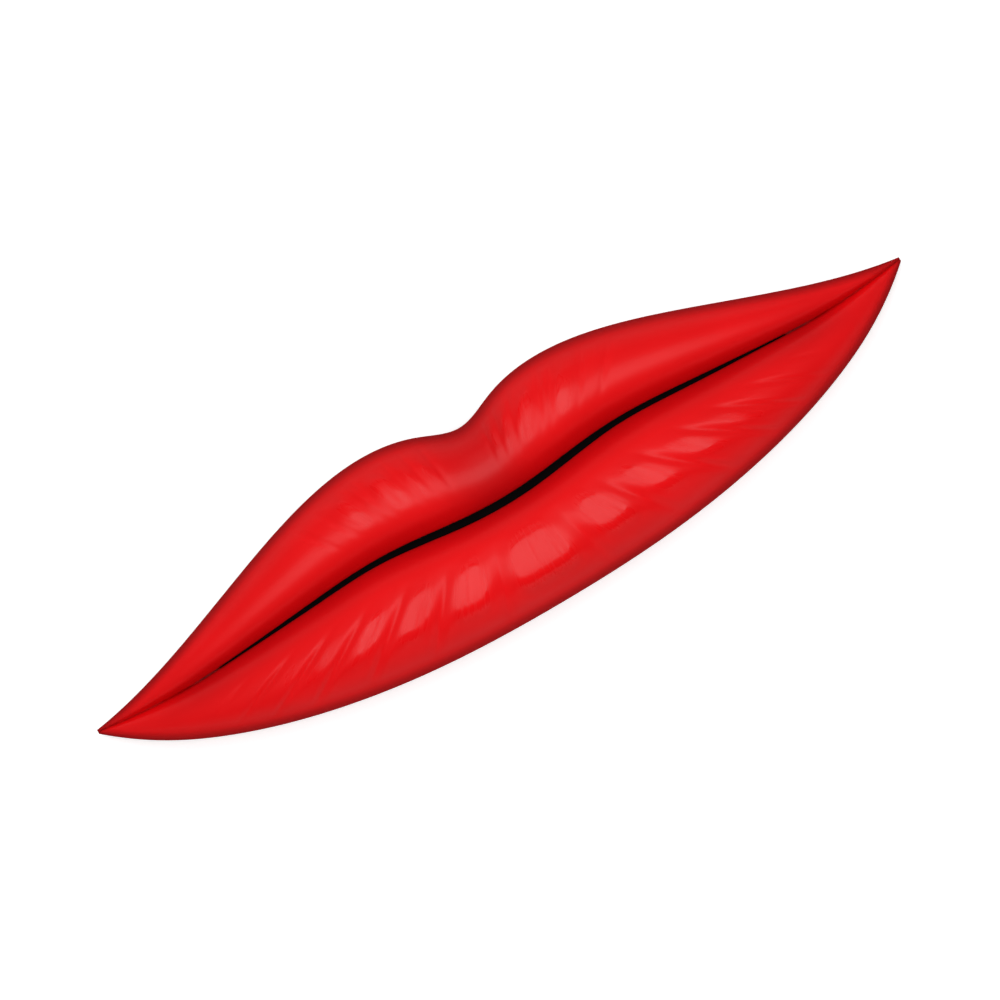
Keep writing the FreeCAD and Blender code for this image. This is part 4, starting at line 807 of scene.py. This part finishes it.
def make_spring(material):
    """The hook plunger's coil spring, which stretches between the board and the plunger."""
    low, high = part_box("hook_spring")
    x, y = middle_of("hook_spring")
    shape = bmesh.new()
    shape.from_mesh(coil_mesh(x, y, low, high))
    bmesh.ops.recalc_face_normals(shape, faces=shape.faces)
    mesh = mesh_from(shape, "spring")
    mesh.shade_smooth()
    mesh.materials.append(material)
    spring = bpy.data.objects.new("coil_spring", mesh)
    bpy.context.scene.collection.objects.link(spring)
    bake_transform(spring)
    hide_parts("hook_spring")


def text_mesh(words, size):
    """Plain lettering with a little thickness, about the origin."""
    curve = bpy.data.curves.new("words", "FONT")
    curve.body = words
    curve.size = size
    curve.extrude = PRINT_THICKNESS / 2
    curve.resolution_u = PRINT_CURVE_STEPS
    holder = bpy.data.objects.new("words", curve)
    bpy.context.scene.collection.objects.link(holder)
    mesh = final_mesh(holder)
    bpy.data.objects.remove(holder)
    points = np.array([tuple(vertex.co) for vertex in mesh.vertices])
    middle = (points.min(axis=0) + points.max(axis=0)) / 2
    mesh.transform(Matrix.Translation(-Vector(middle)))
    return mesh


def make_print(name, body, lines, material):
    """Lettering read from below, as (words, size, place) lines; its top is towards +X."""
    turn = Matrix(((0, 1, 0, 0), (1, 0, 0, 0), (0, 0, -1, 0), (0, 0, 0, 1)))
    meshes = []
    for words, size, place in lines:
        mesh = text_mesh(words, size)
        mesh.transform(Matrix.Translation(place) @ turn)
        meshes.append(mesh)
    mesh = joined(name, meshes)
    shape = bmesh.new()
    shape.from_mesh(mesh)
    bmesh.ops.remove_doubles(shape, verts=shape.verts, dist=PRINT_WELD)
    shape.to_mesh(mesh)
    shape.free()
    add_piece(name, mesh, material, body)


def make_legends():
    """Figures and letters on the keys, and the marks by the two switches."""
    dark = moulded("print_dark", DARK_INK, INK_ROUGHNESS)
    pale = moulded("print_pale", PALE_INK, INK_ROUGHNESS)
    for key, (figure, letters) in KEYS.items():
        x, y = middle_of(key)
        face_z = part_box(key)[0].z
        lift = DIGIT_LIFT if letters else 0.0
        size = DIGIT_SIZE if len(figure) == 1 else WORD_SIZE
        lines = [(figure, size, (x + lift, y, face_z))]
        if letters:
            lines.append((letters, LETTER_SIZE, (x - LETTER_DROP, y, face_z)))
        ink, slot = (dark, "hook_plastic") if len(figure) == 1 else (pale, "key_ivory")
        make_print(f"legend_{key}", key, lines, ink)
    plate_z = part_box("base_plate")[0].z
    for knob, marks in SWITCH_MARKS.items():
        end_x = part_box(knob)[0].x
        y = middle_of(knob)[1]
        lines = [(words, MARK_SIZE, (end_x + offset, y, plate_z)) for words, offset in marks]
        make_print(f"marks_{knob}", HOUSING, lines, pale)


class Nodes:
    """A node tree with short calls for the nodes used here."""

    def __init__(self, tree):
        self.tree = tree

    def add(self, kind, **settings):
        node = self.tree.nodes.new(kind)
        for key, value in settings.items():
            setattr(node, key, value)
        return node

    def join(self, source, target):
        self.tree.links.new(source, target)

    def feed(self, target, value):
        """Join a node's output to a socket, or set the socket to a number or colour."""
        if isinstance(value, bpy.types.NodeSocket):
            self.join(value, target)
        else:
            target.default_value = value

    def maths(self, operation, first, second):
        node = self.add("ShaderNodeMath", operation=operation)
        self.feed(node.inputs[0], first)
        self.feed(node.inputs[1], second)
        return node.outputs["Value"]

    def range(self, factor, low, high, from_low, from_high):
        """From low to high, as a factor goes from one value to another."""
        node = self.add("ShaderNodeMapRange")
        node.inputs["From Min"].default_value = from_low
        node.inputs["From Max"].default_value = from_high
        self.feed(node.inputs["To Min"], low)
        self.feed(node.inputs["To Max"], high)
        self.join(factor, node.inputs["Value"])
        return node.outputs["Result"]

    def mix(self, factor, first, second):
        """Blend two colours, each a colour or a node's output."""
        node = self.add("ShaderNodeMix", data_type="RGBA")
        self.join(factor, node.inputs["Factor"])
        for value, target in ((first, node.inputs["A"]), (second, node.inputs["B"])):
            self.feed(target, (*value, 1) if isinstance(value, tuple) else value)
        return node.outputs["Result"]

    def seen_by_eye(self):
        """1 for rays that show the background: camera, glossy and transmission rays."""
        path = self.add("ShaderNodeLightPath")
        total = path.outputs["Is Camera Ray"]
        for name in ("Is Glossy Ray", "Is Transmission Ray"):
            total = self.maths("MAXIMUM", total, path.outputs[name])
        return total


class Shader(Nodes):
    """A material's nodes, around its surface shader."""

    def __init__(self, name):
        self.material = bpy.data.materials.new(name)
        self.material.use_nodes = True
        super().__init__(self.material.node_tree)
        self.surface = self.tree.nodes["Principled BSDF"]

    def set(self, **values):
        """Set the surface's own sockets, or join nodes to them."""
        for name, value in values.items():
            self.feed(self.surface.inputs[name.replace("_", " ")], value)

    def place(self, stretch=(1, 1, 1), source="Object"):
        """Coordinates on the object in metres, or on its map, stretched."""
        coordinates = self.add("ShaderNodeTexCoord")
        mapping = self.add("ShaderNodeMapping")
        mapping.inputs["Scale"].default_value = stretch
        self.join(coordinates.outputs[source], mapping.inputs["Vector"])
        return mapping.outputs["Vector"]

    def noise(self, scale, detail, vector=None):
        node = self.add("ShaderNodeTexNoise")
        node.inputs["Scale"].default_value = scale
        node.inputs["Detail"].default_value = detail
        self.join(vector or self.place(), node.inputs["Vector"])
        return node.outputs["Fac"]

    def field(self, name):
        """A value that is stored at the mesh's points."""
        return self.add("ShaderNodeAttribute", attribute_name=name).outputs["Fac"]

    def ramp(self, factor, first, second, span=NOISE_SPAN):
        """From one colour to another, as a factor goes over a span."""
        node = self.add("ShaderNodeValToRGB")
        for element, place, colour in zip(node.color_ramp.elements, span, (first, second)):
            element.position = place
            element.color = (*colour, 1)
        self.join(factor, node.inputs["Fac"])
        return node.outputs["Color"]

    def roughness(self, factor, low, high):
        self.set(Roughness=self.range(factor, low, high, *NOISE_SPAN))

    def bump(self, height, distance, strength=1.0):
        node = self.add("ShaderNodeBump")
        node.inputs["Distance"].default_value = distance
        node.inputs["Strength"].default_value = strength
        self.join(height, node.inputs["Height"])
        self.set(Normal=node.outputs["Normal"])


def scaled(colour, share):
    """A colour made darker or paler."""
    return tuple(channel * share for channel in colour)


def lip_material():
    """Red moulded plastic: streaky polished pads, a matt edge with painted shade, and painted shade by
    mouth and bow.
    """
    shader = Shader("lip_red")
    streaks = shader.noise(scale=1.0, detail=4.0, vector=shader.place(STREAK_STRETCH, "UV"))
    red = shader.ramp(shader.noise(scale=45.0, detail=2.0), *LIP_REDS)
    from_edge = shader.field("from_edge")
    line = shader.range(shader.field("from_mouth"), 1.0, 0.0, *LINE_EDGE)
    # Painted shade: the red goes deeper towards the outline and over the skirt, down to the rim.
    edge = shader.range(from_edge, 1.0, 0.0, *PAINTED_EDGE_SHADE_SPAN)
    # Painted shade: the red is darkened beside the mouth line and in the bow.
    inner = shader.mix(shader.field("painted_mouth_bow_shade"), red, PAINTED_MOUTH_BOW_SHADE_COLOUR)
    shaded = shader.mix(edge, inner, PAINTED_EDGE_SHADE_COLOUR)
    pads = shader.range(streaks, *PAD_ROUGHNESS, *STREAK_RANGE)
    smooth = shader.range(shader.field("polish"), LIP_ROUGHNESS, pads, 0.0, FULL_POLISH)
    matt = shader.range(from_edge, EDGE_ROUGHNESS, 0.0, *EDGE_MATT)
    shader.set(Base_Color=shader.mix(line, shaded, LINE_COLOUR))
    shader.set(Roughness=shader.maths("MAXIMUM", smooth, matt))
    shader.set(Specular_IOR_Level=LIP_SPECULAR, Specular_Tint=LIP_TINT)
    shader.bump(streaks, STREAK_DEPTH, STREAK_STRENGTH)
    return shader.material


def moulded(name, colour, roughness=PLASTIC_ROUGHNESS, specular=PLASTIC_SPECULAR):
    """Moulded plastic with a fine grain and a little unevenness of colour."""
    shader = Shader(name)
    grain = shader.noise(scale=1400.0, detail=3.0)
    cloud = shader.noise(scale=60.0, detail=3.0)
    shader.set(Base_Color=shader.ramp(cloud, scaled(colour, 0.90), colour))
    shader.roughness(grain, low=roughness - 0.05, high=roughness + 0.07)
    shader.bump(grain, distance=0.02 * MM)
    shader.set(Specular_IOR_Level=specular)
    return shader.material


def rubber(name, colour):
    """Matt rubber with a dusty bloom."""
    shader = Shader(name)
    fine = shader.noise(scale=2200.0, detail=4.0)
    bloom = shader.noise(scale=240.0, detail=4.0)
    dusty = tuple(min(1.0, channel * 1.25 + 0.012) for channel in colour)
    shader.set(Base_Color=shader.ramp(bloom, colour, dusty, span=(0.35, 0.75)))
    shader.roughness(fine, low=0.68, high=0.88)
    shader.bump(fine, distance=0.03 * MM)
    return shader.material


def metal(name, colour):
    """Plated or drawn metal with fine scratches and a little tarnish."""
    shader = Shader(name)
    scratch = shader.noise(scale=1.0, detail=5.0, vector=shader.place((5200, 420, 420)))
    stain = shader.noise(scale=320.0, detail=4.0)
    shader.set(Base_Color=shader.ramp(stain, scaled(colour, 0.72), colour, span=(0.3, 0.62)))
    shader.roughness(scratch, low=METAL_ROUGHNESS - 0.06, high=METAL_ROUGHNESS + 0.10)
    shader.bump(scratch, distance=0.01 * MM)
    shader.set(Metallic=1.0)
    return shader.material


def board_material(name, colour):
    """Paper laminate with its fibres and dark copper tracks showing through."""
    shader = Shader(name)
    fibre = shader.noise(scale=1.0, detail=5.0, vector=shader.place((2600, 300, 300)))
    track = shader.noise(scale=1.0, detail=0.0, vector=shader.place((120, 420, 120)))
    plain = shader.ramp(fibre, scaled(colour, 0.7), colour)
    covered = shader.range(track, 0.0, 1.0, from_low=0.52, from_high=0.54)
    shader.set(Base_Color=shader.mix(covered, plain, TRACK_COLOUR))
    shader.roughness(fibre, low=0.42, high=0.58)
    shader.bump(fibre, distance=0.02 * MM)
    return shader.material


def mouth_material(name):
    """Dull black inlay with a slightly uneven finish."""
    shader = Shader(name)
    cloud = shader.noise(scale=220.0, detail=3.0)
    shader.set(Base_Color=shader.ramp(cloud, MOUTH_BLACK, scaled(MOUTH_BLACK, 2)))
    shader.roughness(cloud, low=0.45, high=0.60)
    shader.bump(shader.noise(scale=900.0, detail=2.0), distance=0.01 * MM)
    shader.set(Specular_IOR_Level=MOUTH_SPECULAR)
    return shader.material


def slot_material(entry):
    """The material for one slot of the record."""
    name = entry["slot"]
    colour = tuple(entry["base_color"])
    if name == "mouth_black":
        return mouth_material(name)
    if name == "plate_red":
        return moulded(name, PLATE_RED, specular=PLATE_SPECULAR)
    if name == "board_laminate":
        return board_material(name, colour)
    if entry["class"] == "rubber":
        return rubber(name, colour)
    if entry["class"] in METALS:
        return metal(name, colour)
    return moulded(name, colour)


def dress_solids():
    """Give every solid the material of its slot."""
    made = {}
    for entry in frame["record"]["materials"]:
        made[entry["slot"]] = slot_material(entry)
    for part in frame["record"]["subparts"]:
        mesh = frame["nodes"][part["node"]].data
        mesh.materials.clear()
        mesh.materials.append(made[part["material_slot"]])
    return made


def floor_material():
    """White that keeps the shadow, seen from above only."""
    shader = Shader("floor_white")
    seen = shader.seen_by_eye()
    glow = shader.range(seen, FLOOR_BOUNCE, FLOOR_LIFT, 0.0, 1.0)
    shader.set(Base_Color=shader.mix(seen, FLOOR_DARK, FLOOR_PALE))
    shader.set(Roughness=1.0, Specular_IOR_Level=0.0)
    shader.set(Emission_Color=(1, 1, 1, 1), Emission_Strength=glow)
    clear = shader.add("ShaderNodeBsdfTransparent")
    side = shader.add("ShaderNodeNewGeometry")
    either = shader.add("ShaderNodeMixShader")
    shader.join(side.outputs["Backfacing"], either.inputs["Fac"])
    shader.join(shader.surface.outputs["BSDF"], either.inputs[1])
    shader.join(clear.outputs["BSDF"], either.inputs[2])
    shader.join(either.outputs["Shader"], shader.tree.nodes["Material Output"].inputs["Surface"])
    return shader.material


def make_floor():
    """A table top under the telephone, open to a view from below."""
    shape = bmesh.new()
    bmesh.ops.create_grid(shape, x_segments=1, y_segments=1, size=FLOOR_SIZE)
    mesh = mesh_from(shape, "floor")
    mesh.transform(Matrix.Translation((0, 0, -FLOOR_DROP)))
    mesh.materials.append(floor_material())
    floor = bpy.data.objects.new("floor", mesh)
    bpy.context.scene.collection.objects.link(floor)


def make_world():
    """A room that looks white up to a dimmer ceiling, with a soft fill that is brighter towards +Y."""
    world = bpy.data.worlds.new("studio")
    bpy.context.scene.world = world
    world.use_nodes = True
    nodes = Nodes(world.node_tree)
    direction = nodes.add("ShaderNodeTexCoord")
    parts = nodes.add("ShaderNodeSeparateXYZ")
    nodes.join(direction.outputs["Generated"], parts.inputs["Vector"])
    wall = nodes.maths("LESS_THAN", parts.outputs["Z"], WALL_TOP)
    white = nodes.maths("MULTIPLY", nodes.seen_by_eye(), wall)
    fill = nodes.range(parts.outputs["Y"], WORLD_FILL - WORLD_LEAN, WORLD_FILL + WORLD_LEAN, -1.0, 1.0)
    back = nodes.tree.nodes["Background"]
    back.inputs["Color"].default_value = (1, 1, 1, 1)
    nodes.join(nodes.range(white, fill, 1.0, 0.0, 1.0), back.inputs["Strength"])


def softbox(name, place, target, width, depth, radiance):
    """A rectangular soft lamp of a given brightness, aimed at a point."""
    lamp = bpy.data.lights.new(name, "AREA")
    lamp.shape = "RECTANGLE"
    lamp.size = width
    lamp.size_y = depth
    lamp.energy = radiance * math.pi * width * depth
    holder = bpy.data.objects.new(name, lamp)
    bpy.context.scene.collection.objects.link(holder)
    holder.location = place
    aim = Vector(target) - Vector(place)
    holder.rotation_mode = "QUATERNION"
    holder.rotation_quaternion = aim.to_track_quat("-Z", "Y")
    holder.visible_camera = False
    return holder


def make_lights():
    """A long lamp overhead for the gloss, and two softer lamps that stay out of the reflections."""
    softbox(
        "overhead", place=(0, -0.045, 1.03), target=(0, 0, 0.03),
        width=1.45, depth=0.46, radiance=3.0)
    key = softbox(
        "key", place=(0, 0.85, 1.30), target=(0, 0, 0.02),
        width=0.9, depth=0.9, radiance=3.7)
    front = softbox(
        "front", place=(0, -0.95, 0.24), target=(0, 0, 0.02),
        width=1.0, depth=0.3, radiance=3.2)
    for soft in (key, front):
        soft.visible_glossy = False


def make_camera():
    """Straight above, turned so that the lip tips land on their pixels."""
    left = Vector(LEFT_TIP_PIXEL)
    right = Vector(RIGHT_TIP_PIXEL)
    span = right - left
    roll = math.atan2(-span.y, span.x)
    low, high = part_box("lips_shell")
    length = high.x - low.x
    pixel = length / span.length
    across = Vector((math.cos(roll), -math.sin(roll), 0))
    upward = Vector((math.sin(roll), math.cos(roll), 0))
    middle = (left + right) / 2
    offset = Vector((FRAME_PIXELS / 2, FRAME_PIXELS / 2)) - middle
    tips = Vector((0, TIP_Y, low.z + TIP_HEIGHT))
    aim = tips + across * (offset.x * pixel) - upward * (offset.y * pixel)
    data = bpy.data.cameras.new("camera")
    data.lens = CAMERA_LENS
    data.sensor_width = CAMERA_SENSOR
    distance = FRAME_PIXELS * pixel * CAMERA_LENS / CAMERA_SENSOR
    camera = bpy.data.objects.new("camera", data)
    bpy.context.scene.collection.objects.link(camera)
    turn = Matrix((across, upward, Vector((0, 0, 1)))).transposed()
    camera.matrix_world = Matrix.Translation(aim + Vector((0, 0, distance))) @ turn.to_4x4()
    data.clip_start, data.clip_end = CAMERA_CLIPS
    bpy.context.scene.camera = camera


bpy.context.scene.view_settings.view_transform = "Standard"
materials = dress_solids()
make_lips()
make_screws(materials["screw_steel"])
make_mat(materials["mat_rubber"])
make_spring(materials["spring_steel"])
make_legends()
make_floor()
make_world()
make_lights()
make_camera()
